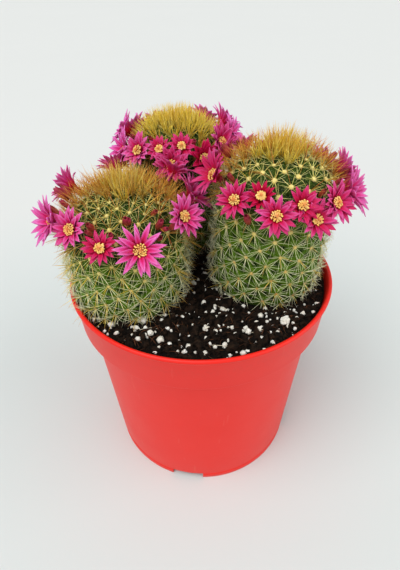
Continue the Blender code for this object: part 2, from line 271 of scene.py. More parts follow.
def relief(tree, shader, height, strength, distance):
    """Feed a height to the shader's normal."""
    bump = tree.nodes.new("ShaderNodeBump")
    bump.inputs["Strength"].default_value = strength
    bump.inputs["Distance"].default_value = distance
    tree.links.new(height, bump.inputs["Height"])
    tree.links.new(bump.outputs["Normal"], shader.inputs["Normal"])


# %% The mottle and grain groups
def make_group(name, inputs, outputs):
    """An empty node group with named sockets."""
    group = bpy.data.node_groups.new(name, "ShaderNodeTree")
    for label, kind, value in inputs:
        socket = group.interface.new_socket(name=label, in_out="INPUT", socket_type=kind)
        socket.default_value = value
    for label, kind in outputs:
        group.interface.new_socket(name=label, in_out="OUTPUT", socket_type=kind)
    return group, group.nodes.new("NodeGroupInput"), group.nodes.new("NodeGroupOutput")


def make_mottle():
    """Soft patches between two colours."""
    group, inside, out = make_group(
        "mottle",
        [("Scale", "NodeSocketFloat", 50.0), ("Contrast", "NodeSocketFloat", 2.0),
         ("First", "NodeSocketColor", (1, 1, 1, 1)), ("Second", "NodeSocketColor", (0, 0, 0, 1))],
        [("Colour", "NodeSocketColor"), ("Mask", "NodeSocketFloat")],
    )
    place = group.nodes.new("ShaderNodeTexCoord")
    patches = node(group, "ShaderNodeTexNoise", Detail=5.0, Roughness=0.6)
    group.links.new(place.outputs["Object"], patches.inputs["Vector"])
    group.links.new(inside.outputs["Scale"], patches.inputs["Scale"])
    centred = combine(group, "SUBTRACT", patches.outputs["Fac"], 0.5)
    scaled = combine(group, "MULTIPLY", centred, inside.outputs["Contrast"])
    mask = combine(group, "ADD", scaled, 0.5)
    clamp = group.nodes.new("ShaderNodeClamp")
    group.links.new(mask, clamp.inputs["Value"])
    mixed = blend(group, clamp.outputs["Result"], inside.outputs["First"], inside.outputs["Second"])
    group.links.new(mixed, out.inputs["Colour"])
    group.links.new(clamp.outputs["Result"], out.inputs["Mask"])
    return group


def make_grain():
    """Height of a fine, even roughness with some larger unevenness."""
    group, inside, out = make_group(
        "grain",
        [("Scale", "NodeSocketFloat", 800.0), ("Unevenness", "NodeSocketFloat", 0.3)],
        [("Height", "NodeSocketFloat")],
    )
    place = group.nodes.new("ShaderNodeTexCoord")
    fine = node(group, "ShaderNodeTexNoise", Detail=3.0)
    broad = node(group, "ShaderNodeTexNoise", Detail=2.0)
    for texture in (fine, broad):
        group.links.new(place.outputs["Object"], texture.inputs["Vector"])
    group.links.new(inside.outputs["Scale"], fine.inputs["Scale"])
    group.links.new(combine(group, "MULTIPLY", inside.outputs["Scale"], 0.12), broad.inputs["Scale"])
    soft = combine(group, "MULTIPLY", broad.outputs["Fac"], inside.outputs["Unevenness"])
    group.links.new(combine(group, "ADD", fine.outputs["Fac"], soft), out.inputs["Height"])
    return group


MOTTLE = make_mottle()
GRAIN = make_grain()


def mottle(tree, scale, contrast, first, second):
    """Place the mottle group; returns its colour and mask."""
    placed = tree.nodes.new("ShaderNodeGroup")
    placed.node_tree = MOTTLE
    placed.inputs["Scale"].default_value = scale
    placed.inputs["Contrast"].default_value = contrast
    placed.inputs["First"].default_value = (*first, 1.0)
    placed.inputs["Second"].default_value = (*second, 1.0)
    return placed.outputs["Colour"], placed.outputs["Mask"]


def grain(tree, scale, unevenness):
    """Place the grain group; returns its height."""
    placed = tree.nodes.new("ShaderNodeGroup")
    placed.node_tree = GRAIN
    placed.inputs["Scale"].default_value = scale
    placed.inputs["Unevenness"].default_value = unevenness
    return placed.outputs["Height"]


# %% [markdown]
# ## The pot
# A nursery pot is blown or injection moulded from coloured plastic: an even, semi-matte skin, a rolled lip,
# a wide band that lets pots stack, and a slightly tapered wall. We draw its section as a chain of points,
# turn it round with a Screw modifier, soften the corners with a Bevel, and cut the foot and floor holes.

# %% Pot sizes, in millimetres
RIM_RADIUS, POT_HEIGHT = 60.0, 103.3
BAND_BOTTOM, BAND_RADIUS = 84.7, 57.8
WALL_TOP, BASE_RADIUS = 53.8, 48.4
LIP_BOTTOM, LIP_ROUND = 101.2, 103.15
WALL = 1.2
FLOOR = 4.6
FOOT_LINE = 2.9
AXIS = 0.001
TURN_STEPS = 160
SOFTENED_EDGE, SOFTEN_ABOVE = 0.25, 24
POT_CREASE = 32


def wall_radius(height):
    """Outer radius of the tapering wall."""
    return BASE_RADIUS + (WALL_TOP - BASE_RADIUS) * height / BAND_BOTTOM


POT_SECTION = [
    # Under the floor, the foot ring, and the fine line above it.
    (AXIS, FLOOR), (BASE_RADIUS - 2.8, FLOOR), (BASE_RADIUS - 2.4, 0.0), (BASE_RADIUS, 0.0),
    (wall_radius(FOOT_LINE), FOOT_LINE), (wall_radius(3.3) - 0.28, 3.3),
    # The tapering wall and the step out to the band.
    (wall_radius(6.0), 6.0), (wall_radius(20.0), 20.0), (wall_radius(50.0), 50.0),
    (WALL_TOP, BAND_BOTTOM - 1.5), (WALL_TOP + 1.0, BAND_BOTTOM - 0.25),
    (BAND_RADIUS - 0.7, BAND_BOTTOM), (BAND_RADIUS, BAND_BOTTOM + 0.7),
    # Over the rolled lip.
    (RIM_RADIUS - 1.25, 100.9), (RIM_RADIUS - 0.55, LIP_BOTTOM), (RIM_RADIUS, 101.9),
    (RIM_RADIUS - 0.05, 102.6), (RIM_RADIUS - 0.45, LIP_ROUND), (RIM_RADIUS - 1.0, POT_HEIGHT),
    (58.5, LIP_ROUND), (58.1, 102.6),
    # Down the inside to the floor.
    (BAND_RADIUS - WALL + 0.9, 100.6), (BAND_RADIUS - WALL, BAND_BOTTOM + 1.4),
    (WALL_TOP - WALL, BAND_BOTTOM - 0.8), (wall_radius(FLOOR) - WALL, FLOOR + WALL), (AXIS, FLOOR + WALL),
]


# %% Turn the section
def section_chain(name, section):
    """A chain of points in the XZ plane."""
    mesh = bpy.data.meshes.new(name)
    links = [(k, k + 1) for k in range(len(section) - 1)]
    mesh.from_pydata([(r * MM, 0.0, z * MM) for r, z in section], links, [])
    thing = bpy.data.objects.new(name, mesh)
    bpy.context.scene.collection.objects.link(thing)
    return thing


def turned(name, section):
    """Turn a section about Z, close it on the axis and face it outwards."""
    thing = only(section_chain(name, section))
    screw = thing.modifiers.new("turn", "SCREW")
    screw.steps = screw.render_steps = TURN_STEPS
    screw.use_merge_vertices = True
    screw.merge_threshold = MERGE_GAP
    apply_all(thing)
    edit(thing)
    bpy.ops.mesh.select_all(action="SELECT")
    bpy.ops.mesh.remove_doubles(threshold=MERGE_GAP)
    bpy.ops.mesh.normals_make_consistent(inside=False)
    bpy.ops.object.mode_set(mode="OBJECT")
    return thing


pot = turned("pot_shell", POT_SECTION)
bevel = pot.modifiers.new("soften", "BEVEL")
bevel.width = SOFTENED_EDGE * MM
bevel.segments = 2
bevel.angle_limit = math.radians(SOFTEN_ABOVE)
apply_all(pot)
print("pot", len(pot.data.polygons), "faces")


# %% Foot notches and drain holes
NOTCHES, NOTCH_START, NOTCH_AT = 4, -100, 48.0
HOLES, HOLE_START, HOLE_AT, HOLE_RADIUS = 6, 11, 34.0, 4.0


def cut_away(thing, tool):
    """Take a tool out of a piece."""
    boolean = thing.modifiers.new("cut", "BOOLEAN")
    boolean.operation = "DIFFERENCE"
    boolean.solver = "EXACT"
    boolean.object = tool
    apply_all(thing)
    drop(tool)


for k in range(NOTCHES):
    azimuth = math.radians(NOTCH_START + 360 // NOTCHES * k)
    bpy.ops.mesh.primitive_cube_add(
        size=1, rotation=(0, 0, azimuth), scale=(9.0 * MM, 16.0 * MM, 5.8 * MM),
        location=(NOTCH_AT * MM * math.cos(azimuth), NOTCH_AT * MM * math.sin(azimuth), 0.9 * MM),
    )
    cut_away(pot, bpy.context.object)
for k in range(HOLES):
    azimuth = math.radians(HOLE_START + 360 // HOLES * k)
    bpy.ops.mesh.primitive_cylinder_add(
        vertices=32, radius=HOLE_RADIUS * MM, depth=6.0 * MM,
        location=(HOLE_AT * MM * math.cos(azimuth), HOLE_AT * MM * math.sin(azimuth), 5.2 * MM),
    )
    cut_away(pot, bpy.context.object)
only(pot)
bpy.ops.object.shade_smooth_by_angle(angle=math.radians(POT_CREASE))


# %% [markdown]
# The plastic is coloured right through. It is nearly even, so the eye reads it by its soft sheen: slightly
# uneven gloss, a faint mould texture, paler rubbed streaks, and a little soil dust held under the lip.


# %% Red plastic
def make_pot_plastic():
    """Semi-matte moulded plastic."""
    made, tree, shader = new_finish("red_moulded_plastic", 0.42, Specular_IOR_Level=0.5)
    even, _ = mottle(tree, 18.0, 1.2, (0.86, 0.026, 0.014), (0.82, 0.022, 0.011))
    place = node(tree, "ShaderNodeTexCoord")
    along_wall = node(tree, "ShaderNodeMapping")
    along_wall.inputs["Scale"].default_value = (1.0, 1.0, 0.16)
    tree.links.new(place.outputs["Object"], along_wall.inputs["Vector"])
    scuffs = node(tree, "ShaderNodeTexNoise", Scale=420.0, Detail=4.0)
    tree.links.new(along_wall.outputs["Vector"], scuffs.inputs["Vector"])
    rubbed = combine(tree, "MULTIPLY", ramp(tree, scuffs.outputs["Fac"], 0.66, 0.78), 0.22)
    coloured = blend(tree, rubbed, even, (0.85, 0.24, 0.19))
    split = node(tree, "ShaderNodeSeparateXYZ")
    tree.links.new(place.outputs["Object"], split.inputs["Vector"])
    _, specks = mottle(tree, 700.0, 9.0, (0, 0, 0), (1, 1, 1))
    high = ramp(tree, split.outputs["Z"], 0.0985, 0.0960)
    low = ramp(tree, split.outputs["Z"], 0.090, 0.0985)
    under_lip = combine(tree, "MULTIPLY", combine(tree, "MULTIPLY", high, low), specks)
    dusty = blend(tree, combine(tree, "MULTIPLY", under_lip, 0.06), coloured, (0.30, 0.12, 0.08))
    tree.links.new(dusty, shader.inputs["Base Color"])
    _, worn = mottle(tree, 60.0, 2.5, (0, 0, 0), (1, 1, 1))
    tree.links.new(ramp(tree, worn, -1.5, 3.5, 0.30, 0.56), shader.inputs["Roughness"])
    relief(tree, shader, grain(tree, 1500.0, 1.5), 0.12, 0.00012)
    return made


pot.data.materials.clear()
pot.data.materials.append(make_pot_plastic())
finish(pot, "pot", "pot")

# %% [markdown]
# ## The potting mix
# Peat, bark and fibre make a dark, broken surface, lightened by white grains of perlite. The plug itself is
# turned from a section with many rings on top, then its top is roughened with layered noise. Loose crumbs,
# grains, fibres and roots are scattered over it as copies of small patterns.

# %% The plug of mix
SOIL_TOP = 99.3
SOIL_EDGE = 56.9
SOIL_RINGS = 60
CLOD_HEIGHT = 0.55
SOIL_CREASE = 50


def soil_height(x, y):
    """The CAD's gently uneven top, in millimetres."""
    return SOIL_TOP + 0.5 * np.sin(x / 9.0 + 0.6) * np.cos(y / 11.0) + 0.3 * np.sin((x + 2 * y) / 7.0)


def clods(x, y):
    """Small lumps on that top, in millimetres."""
    return CLOD_HEIGHT * noise.fractal(Vector((x * 0.33, y * 0.33, 1.7)), 1.0, 2.1, 4)


rings = [(SOIL_EDGE * (1 - k / SOIL_RINGS), SOIL_TOP) for k in range(SOIL_RINGS)] + [(AXIS, SOIL_TOP)]
plug_section = [(AXIS, 6.2), (47.0, 6.2), (52.2, BAND_BOTTOM - 0.9), (56.2, BAND_BOTTOM + 1.6)] + rings
mix = turned("potting_mix_plug", plug_section)
points = coords(mix) / MM
top = np.isclose(points[:, 2], SOIL_TOP)
points[top, 2] = [soil_height(x, y) + clods(x, y) for x, y, _ in points[top]]
set_coords(mix, points * MM)
only(mix)
bpy.ops.object.shade_smooth_by_angle(angle=math.radians(SOIL_CREASE))


# %% Peat finish
def make_peat(name, first, second, wet):
    """Dark organic crumbs, a little damp."""
    made, tree, shader = new_finish(name, wet, Specular_IOR_Level=0.25)
    colour, mask = mottle(tree, 420.0, 4.0, first, second)
    tree.links.new(colour, shader.inputs["Base Color"])
    height = combine(tree, "ADD", grain(tree, 1400.0, 2.0), combine(tree, "MULTIPLY", mask, 0.8))
    relief(tree, shader, height, 0.9, 0.0006)
    return made


PEAT = make_peat("dark_peat", (0.004, 0.003, 0.002), (0.018, 0.010, 0.006), 0.9)
CRUMB = make_peat("peat_crumb", (0.005, 0.003, 0.002), (0.036, 0.019, 0.010), 0.85)
mix.data.materials.append(PEAT)
finish(mix, "potting_mix", "potting_mix")

# %% [markdown]
# ## The stems' skin
# On this kind of cactus every areole sits on its own small knob, a tubercle, and each new one turns by the
# golden angle from the last, which lays them in crossing spirals. The CAD stems follow that rule, so the
# fine stem starts from a welded copy of the CAD's cage: furrows are pushed deeper, and two levels of
# subdivision round every knob. The same rule, written again here, tells us where the areoles are.

# %% Stem sizes and the rule of the spirals
STEMS = {
    "left": dict(base=(-31.5, -12.3), radius=24.2, height=46.0, drift=(1.5, 4.3), area=39.0),
    "right": dict(base=(28.0, -5.2), radius=22.9, height=58.0, drift=(3.7, 2.0), area=46.0),
    "back": dict(base=(-10.0, 32.5), radius=20.4, height=59.0, drift=(0.5, 0.0), area=44.0),
}
GOLDEN_ANGLE = math.pi * (3.0 - math.sqrt(5.0))
TIP_AREA = 12.0
DOME_RISE, DOME_POWER = 0.74, 2.15
FOOT_HEIGHT, FOOT_SHARE = 9.0, 0.93


def stem_profile(stem, steps=400):
    """Radius, height and run of the skin's curve, from the tip down."""
    radius, height = stem["radius"], stem["height"]
    rise = radius * DOME_RISE
    swing = np.linspace(0.0, np.pi / 2, steps)
    dome_r = radius * np.sin(swing) ** (2 / DOME_POWER)
    dome_z = height - rise + rise * np.cos(swing) ** (2 / DOME_POWER)
    side_z = np.linspace(height - rise, 0.0, steps)[1:]
    ease = np.clip(side_z / FOOT_HEIGHT, 0.0, 1.0)
    side_r = radius * (FOOT_SHARE + (1.0 - FOOT_SHARE) * (1 - (1 - ease) ** 2))
    r = np.concatenate([dome_r, side_r])
    z = np.concatenate([dome_z, side_z])
    run = np.concatenate([[0.0], np.cumsum(np.hypot(np.diff(r), np.diff(z)))])
    return r, z, run


def areoles(stem):
    """Azimuth and run of every areole, from the tip down."""
    r, _, run = stem_profile(stem)
    shoulder = run[np.argmax(r)]
    area = TIP_AREA + (stem["area"] - TIP_AREA) * np.clip(run / shoulder, 0.0, 1.0)
    rate = 2 * np.pi * r / area
    count = np.concatenate([[0.0], np.cumsum((rate[1:] + rate[:-1]) / 2 * np.diff(run))])
    order = np.arange(int(count[-1] - 0.5)) + 0.5
    return order * GOLDEN_ANGLE, np.interp(order, count, run), shoulder


# %% Where each areole is and which way it faces
def areole_frames(side):
    """Places in mm, outward, sideways and downward directions, and how far down each areole is."""
    stem = STEMS[side]
    azimuth, run, shoulder = areoles(stem)
    r, z, along = stem_profile(stem)
    slope_r = np.interp(run, along, np.gradient(r, along))
    slope_z = np.interp(run, along, np.gradient(z, along))
    radius, height = np.interp(run, along, r), np.interp(run, along, z)
    drift = np.array(stem["drift"]) / stem["height"]
    place = np.column_stack([
        stem["base"][0] + radius * np.cos(azimuth) + drift[0] * height,
        stem["base"][1] + radius * np.sin(azimuth) + drift[1] * height,
        SOIL_TOP + height,
    ])
    out = np.column_stack([-slope_z * np.cos(azimuth), -slope_z * np.sin(azimuth), slope_r])
    down = np.column_stack([slope_r * np.cos(azimuth), slope_r * np.sin(azimuth), slope_z])
    sideways = np.cross(down, out)
    unit = [v / np.linalg.norm(v, axis=1)[:, None] for v in (out, sideways, down)]
    return place, *unit, run / shoulder


# %% Fine skin from the CAD cage
TIP_PUSH, FURROW_PUSH = 0.9, 1.1
FULL_FURROW = 2.0


def make_skin(side):
    """A welded, deepened and rounded copy of the CAD stem."""
    cage = frame["nodes"][f"stem_{side}"]
    skin = bpy.data.objects.new(f"skin_{side}", cage.data.copy())
    bpy.context.scene.collection.objects.link(skin)
    skin.matrix_world = cage.matrix_world
    apply_all(skin)
    edit(skin)
    bpy.ops.mesh.select_all(action="SELECT")
    bpy.ops.mesh.remove_doubles(threshold=MERGE_GAP)
    bpy.ops.object.mode_set(mode="OBJECT")
    tips, out, _, _, _ = areole_frames(side)
    points = coords(skin) / MM
    gap = np.linalg.norm(points[:, None] - tips[None], axis=2)
    nearest = gap.argmin(axis=1)
    on_tip = gap.min(axis=1) < 0.05
    above = points[:, 2] > SOIL_TOP - 0.5
    points[on_tip] += out[nearest[on_tip]] * TIP_PUSH
    furrow = ~on_tip & above
    points[furrow] -= out[nearest[furrow]] * FURROW_PUSH
    set_coords(skin, points * MM)
    rounding = skin.modifiers.new("round", "SUBSURF")
    rounding.levels = rounding.render_levels = 2
    apply_all(skin)
    only(skin)
    bpy.ops.object.shade_smooth()
    points = coords(skin) / MM
    stem = STEMS[side]
    r, z, _ = stem_profile(stem)
    level = points[:, 2] - SOIL_TOP
    drift = np.array(stem["drift"]) / stem["height"]
    centre = np.array(stem["base"]) + drift * level[:, None]
    radius = np.hypot(*(points[:, :2] - centre).T)
    depth = np.min(np.hypot(radius[:, None] - r[None, ::8], level[:, None] - z[None, ::8]), axis=1)
    # The two traits below are masks for painted shade in the flesh finish: depth into a furrow, and height up
    # the dome.
    layer = skin.data.attributes.new("furrow", "FLOAT", "POINT")
    layer.data.foreach_set("value", np.clip(depth / FULL_FURROW, 0, 1).astype(np.float32))
    upper = np.clip((level - stem["height"] + DOME_RISE * stem["radius"] + 2.0) / 5.0, 0, 1)
    layer = skin.data.attributes.new("upper", "FLOAT", "POINT")
    layer.data.foreach_set("value", upper.astype(np.float32))
    print(side, "tips", int(on_tip.sum()), "of", len(tips))
    return skin


# %% [markdown]
# The flesh is fresh green on the knobs, with tiny pale flecks. Painted shade makes it nearly black-green in
# the furrows, and more painted shade darkens all of it over the dome, where the crown's spines would shade
# it. The skin is waxy, so its highlights are fairly soft. Two traits on the points place this painted shade:
# `furrow`, how deep a point lies, and `upper`, how far up the dome.


# %% Green flesh
def make_flesh():
    """Waxy green skin, with painted shade in the furrows and over the dome."""
    made, tree, shader = new_finish("waxy_green_skin", 0.45, Specular_IOR_Level=0.15)
    patches, _ = mottle(tree, 120.0, 2.4, (0.175, 0.320, 0.008), (0.072, 0.170, 0.005))
    # Painted shade: the flesh over the dome is darkened where the crown spines would shade it.
    dome_shade_amount = combine(tree, "MULTIPLY", trait(tree, "upper"), 0.88)
    dome_shaded_colour = blend(tree, dome_shade_amount, patches, (0.030, 0.062, 0.004))
    # Painted shade: the furrows are darkened nearly to black-green.
    depth = ramp(tree, trait(tree, "furrow"), 0.06, 0.50)
    shaded = blend(tree, depth, dome_shaded_colour, (0.006, 0.018, 0.003))
    _, flecks = mottle(tree, 1700.0, 14.0, (0, 0, 0), (1, 1, 1))
    pale_flecks = combine(tree, "MULTIPLY", ramp(tree, flecks, 0.75, 1.0), 0.22)
    spotted = blend(tree, pale_flecks, shaded, (0.34, 0.46, 0.12))
    tree.links.new(spotted, shader.inputs["Base Color"])
    relief(tree, shader, grain(tree, 1300.0, 0.8), 0.25, 0.0002)
    return made


FLESH = make_flesh()
SKIN = {}
for side in STEMS:
    SKIN[side] = make_skin(side)
    SKIN[side].data.materials.clear()
    SKIN[side].data.materials.append(FLESH)
    finish(SKIN[side], "stem", f"stem_{side}")

# %% [markdown]
# ## Crumbs, perlite and fibres
# Now that the stems are in, loose bits can be dropped over the open part of the mix: peat crumbs, white
# perlite, bark fibres, a few pale roots. A crumb is an icosphere with its points pushed about, and every
# copy is turned and squashed differently.


# %% A lumpy pattern
def lump_pattern(name, level, roughness, seed):
    """A rough little stone around the origin, radius one; level 0 is a ball of a few dozen faces."""
    if level:
        bpy.ops.mesh.primitive_ico_sphere_add(subdivisions=level, radius=1.0)
    else:
        bpy.ops.mesh.primitive_uv_sphere_add(segments=8, ring_count=6, radius=1.0)
    lump = bpy.context.object
    lump.name = name
    points = coords(lump)
    for k, point in enumerate(points):
        points[k] *= 1.0 + roughness * noise.noise(Vector(point) * 1.3 + Vector((seed, 0, 0)))
    set_coords(lump, points)
    return lump


def random_turns(count):
    """Random rotation matrices."""
    q = rng.normal(size=(count, 4))
    w, x, y, z = (q / np.linalg.norm(q, axis=1)[:, None]).T
    return np.stack([
        np.stack([1 - 2 * (y * y + z * z), 2 * (x * y - z * w), 2 * (x * z + y * w)], 1),
        np.stack([2 * (x * y + z * w), 1 - 2 * (x * x + z * z), 2 * (y * z - x * w)], 1),
        np.stack([2 * (x * z - y * w), 2 * (y * z + x * w), 1 - 2 * (x * x + y * y)], 1),
    ], 1)


def open_spots(count, clearance, reach):
    """Random spots on the mix that no stem covers, in millimetres."""
    spots = []
    while len(spots) < count:
        x, y = rng.uniform(-reach, reach, 2)
        if math.hypot(x, y) > reach:
            continue
        if all(math.hypot(x - stem["base"][0], y - stem["base"][1]) > stem["radius"] * FOOT_SHARE + clearance
               for stem in STEMS.values()):
            spots.append((x, y))
    return np.array(spots)


def drop_lumps(name, pattern, spots, size, sink, squash, smooth=False):
    """Copies of a lump lying on the mix."""
    count = len(spots)
    shape = size[:, None] * rng.uniform(squash, 1.0, (count, 3))
    local = coords(pattern)[None] * shape[:, None]
    local = np.einsum("nij,nvj->nvi", random_turns(count), local)
    height = np.array([soil_height(x, y) + clods(x, y) for x, y in spots])
    middle = np.column_stack([spots, height + size * sink])
    return copies(name, pattern, (local + middle[:, None]) * MM, smooth=smooth, tone=rng.random(count))


# %% Peat crumbs
CRUMBS = 2600
crumb = lump_pattern("crumb_pattern", 1, 0.9, 3.0)
spots = open_spots(CRUMBS, -0.6, 56.0)
crumbs = drop_lumps("peat_crumbs", crumb, spots, rng.gamma(3.0, 0.26, CRUMBS) + 0.35, 0.25, 0.45)
crumbs.data.materials.append(CRUMB)
finish(crumbs, "potting_mix")
drop(crumb)


# %% [markdown]
# Perlite is a volcanic glass popped like corn: chalky white, rounded but pitted. The largest grains are CAD
# nodes, so each gets a finely divided lump of its own in the same place.


# %% Perlite finish and scattered grains
def make_perlite_finish():
    """Chalky white with faint stains and pits."""
    made, tree, shader = new_finish("chalky_perlite", 0.9, Subsurface_Weight=0.15)
    shader.inputs["Subsurface Radius"].default_value = (0.001, 0.001, 0.001)
    clean, mask = mottle(tree, 380.0, 3.0, (0.93, 0.92, 0.88), (0.76, 0.72, 0.62))
    tree.links.new(clean, shader.inputs["Base Color"])
    height = combine(tree, "ADD", grain(tree, 1700.0, 1.0), mask)
    relief(tree, shader, height, 0.6, 0.0004)
    return made


PERLITE_FINISH = make_perlite_finish()
GRAINS = 460
pebble = lump_pattern("perlite_pattern", 0, 0.50, 9.0)
spots = open_spots(GRAINS, -0.3, 56.2)
grains = drop_lumps("perlite_grains", pebble, spots, rng.gamma(4.0, 0.15, GRAINS) + 0.3, 0.45, 0.6, True)
grains.data.materials.append(PERLITE_FINISH)
finish(grains, "perlite")
drop(pebble)

# %% The biggest grains
BIG_GRAINS = 4
BIG_GRAIN_SWELL, BIG_GRAIN_SINK = 1.05, 0.7
for k in range(BIG_GRAINS):
    low, high = (np.array(corner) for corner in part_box(f"perlite_grain_{k + 1}"))
    big = lump_pattern(f"perlite_lump_{k + 1}", 4, 0.5, 2.7 * k + 1.0)
    points = coords(big)
    points = points / np.abs(points).max(axis=0) * (high - low) / 2 * BIG_GRAIN_SWELL + (high + low) / 2
    points[:, 2] -= BIG_GRAIN_SINK * MM
    set_coords(big, points)
    big.data.materials.append(PERLITE_FINISH)
    only(big)
    bpy.ops.object.shade_smooth()
    finish(big, "perlite", f"perlite_grain_{k + 1}")

# %% [markdown]
# Coir and bark fibres lie across the mix, and a few pale young roots show near the rim. A fibre is a thin
# four-sided rod, bisected five times so that it can follow an arc over the lumps.

# %% One fibre
FIBRE_CUTS = 6
bpy.ops.object.select_all(action="DESELECT")
bpy.ops.mesh.primitive_cylinder_add(vertices=4, radius=1.0, depth=1.0, location=(0, 0, 0.5))
fibre = bpy.context.object
apply_all(fibre)
edit(fibre)
for k in range(1, FIBRE_CUTS):
    bpy.ops.mesh.select_all(action="SELECT")
    bpy.ops.mesh.bisect(plane_co=(0, 0, k / FIBRE_CUTS), plane_no=(0, 0, 1))
for level, share in ((0.0, 0.4), (1.0, 0.2)):
    pick(fibre, lambda co, z=level: abs(co.z - z) < 0.01)
    bpy.ops.transform.resize(value=(share, share, 1.0))
bpy.ops.object.mode_set(mode="OBJECT")


# %% Lay the fibres down
FIBRE_REACH = 56.2


def lay_fibres(name, spots, length, width, curl, lift):
    """Copies of the fibre, each along its own arc on the mix."""
    count = len(spots)
    shape = coords(fibre)
    along = shape[:, 2]
    heading = rng.uniform(0, 2 * np.pi, count)[:, None] + rng.normal(0, curl, count)[:, None] * along[None]
    stations = np.linspace(0, 1, FIBRE_CUTS + 1)
    turning = heading[:, [int(np.argmin(abs(along - s))) for s in stations]][:, 1:]
    start = np.zeros((count, 1))
    walk_x = np.concatenate([start, np.cumsum(np.cos(turning), axis=1)], axis=1) / FIBRE_CUTS
    walk_y = np.concatenate([start, np.cumsum(np.sin(turning), axis=1)], axis=1) / FIBRE_CUTS
    station = np.rint(along * FIBRE_CUTS).astype(int)
    x = spots[:, :1] + walk_x[:, station] * length[:, None]
    y = spots[:, 1:] + walk_y[:, station] * length[:, None]
    far = np.maximum(np.hypot(x, y) / FIBRE_REACH, 1.0)
    x, y = x / far, y / far
    arch = np.sin(np.pi * along)[None] * rng.uniform(0, lift, count)[:, None]
    z = soil_height(x, y) + 0.35 + arch
    x = x - np.sin(heading) * shape[None, :, 0] * width[:, None]
    y = y + np.cos(heading) * shape[None, :, 0] * width[:, None]
    z = z + shape[None, :, 1] * width[:, None]
    tone = np.broadcast_to(rng.random(count)[:, None], x.shape)
    return copies(name, fibre, np.stack([x, y, z], axis=2) * MM, tone=tone)


def make_fibre_finish(name, dark, light):
    """Dull plant fibre, from dark to light by its own tone."""
    made, tree, shader = new_finish(name, 0.85, Specular_IOR_Level=0.2)
    streaks, _ = mottle(tree, 700.0, 3.0, dark, light)
    coloured = blend(tree, trait(tree, "tone"), streaks, light)
    tree.links.new(coloured, shader.inputs["Base Color"])
    relief(tree, shader, grain(tree, 1800.0, 1.0), 0.5, 0.0002)
    return made


FIBRES, ROOTS = 420, 16
fibres = lay_fibres("bark_fibres", open_spots(FIBRES, -0.5, 55.5), rng.uniform(2.5, 8.0, FIBRES),
                    rng.uniform(0.06, 0.14, FIBRES), 1.2, 1.0)
fibres.data.materials.append(make_fibre_finish("russet_fibre", (0.035, 0.014, 0.008), (0.20, 0.085, 0.040)))
finish(fibres, "potting_mix")
roots = lay_fibres("pale_roots", open_spots(ROOTS, 1.0, 55.0), rng.uniform(7.0, 15.0, ROOTS),
                   rng.uniform(0.10, 0.16, ROOTS), 2.0, 1.6)
roots.data.materials.append(make_fibre_finish("pale_root", (0.62, 0.52, 0.36), (0.84, 0.76, 0.60)))
finish(roots, "potting_mix")
drop(fibre)

# %% [markdown]
# ## Spines
# Every areole carries a ring of thin, pale radial spines that lie low over the skin, and some carry longer,
# coloured central spines that stand up. One spine is modelled: a three-sided cone, bisected twice along its
# length so that it can bend. Each copy is stretched to its own length and width and curved by its own amount.

# %% One spine
SPINE_RINGS = ((0.34, 1.25), (0.70, 1.7))
bpy.ops.mesh.primitive_cone_add(vertices=3, radius1=1.0, radius2=0.0, depth=1.0, location=(0, 0, 0.5))
spine = bpy.context.object
apply_all(spine)
edit(spine)
for ring_height, _ in SPINE_RINGS:
    bpy.ops.mesh.select_all(action="SELECT")
    bpy.ops.mesh.bisect(plane_co=(0, 0, ring_height), plane_no=(0, 0, 1))
for ring_height, swell in SPINE_RINGS:
    pick(spine, lambda co, h=ring_height: abs(co.z - h) < 0.01)
    bpy.ops.transform.resize(value=(swell, swell, 1.0))
bpy.ops.object.mode_set(mode="OBJECT")
print("spine pattern", len(spine.data.polygons), "faces")


# %% Growing spines from points
def grow(name, roots, ways, bends, length, width, curve, **traits):
    """Spines from these roots (mm), each pointing its way and bending towards its bend direction."""
    bends = bends - np.sum(bends * ways, axis=1)[:, None] * ways
    bends /= np.linalg.norm(bends, axis=1)[:, None] + 1e-9
    third = np.cross(ways, bends)
    shape = coords(spine)
    along = np.clip(shape[:, 2], 0.0, 1.0)
    sweep = along[None] * length[:, None]
    offset = (along[None] ** 2) * (curve * length)[:, None]
    points = roots[:, None] + sweep[..., None] * ways[:, None] + offset[..., None] * bends[:, None]
    for axis, way in ((0, bends), (1, third)):
        points = points + (shape[None, :, axis] * width[:, None])[..., None] * way[:, None]
    spread = {key: np.broadcast_to(np.asarray(v)[:, None], sweep.shape) for key, v in traits.items()}
    return copies(name, spine, points * MM, along=np.broadcast_to(along[None], sweep.shape), **spread)


# %% Areoles on the real skin
def areoles_on_skin(side):
    """The areoles dropped onto the rounded skin."""
    place, out, sideways, down, share = areole_frames(side)
    skin = SKIN[side]
    tree = BVHTree.FromPolygons([v.co for v in skin.data.vertices], [p.vertices for p in skin.data.polygons])
    for k, (point, direction) in enumerate(zip(place, out)):
        hit, _, _, _ = tree.ray_cast(Vector((point + direction * 4.0) * MM), Vector(-direction), 0.01)
        if hit is not None:
            place[k] = np.array(hit) / MM
    return place, out, sideways, down, share


AREOLES = {side: areoles_on_skin(side) for side in STEMS}


# %% Directions round an areole
def fan(frames, count, low, high, start, end):
    """Count directions round each areole from share start to end, raised low to high degrees off the skin."""
    _, out, sideways, down, share = frames
    chosen = np.flatnonzero((share >= start) & (share < end))
    index = np.repeat(chosen, count)
    turn = np.tile(np.arange(count) * 2 * np.pi / count, len(chosen))
    turn = turn + np.repeat(rng.uniform(0, 2 * np.pi, len(chosen)), count) + rng.normal(0, 0.13, len(index))
    lift = np.radians(rng.uniform(low, high, len(index)))
    level = np.cos(turn)[:, None] * sideways[index] + np.sin(turn)[:, None] * down[index]
    ways = np.cos(lift)[:, None] * level + np.sin(lift)[:, None] * out[index]
    return index, ways, level


# %% [markdown]
# Low on the stem the radials are ivory and the centrals straw with brown tips. Towards the crown both turn
# golden, and at the very tip a dense tuft of young spines stands upright, orange-brown in its middle.
# Three traits stored on the points carry this: `along` the spine, `tone` of each spine, and `young`.


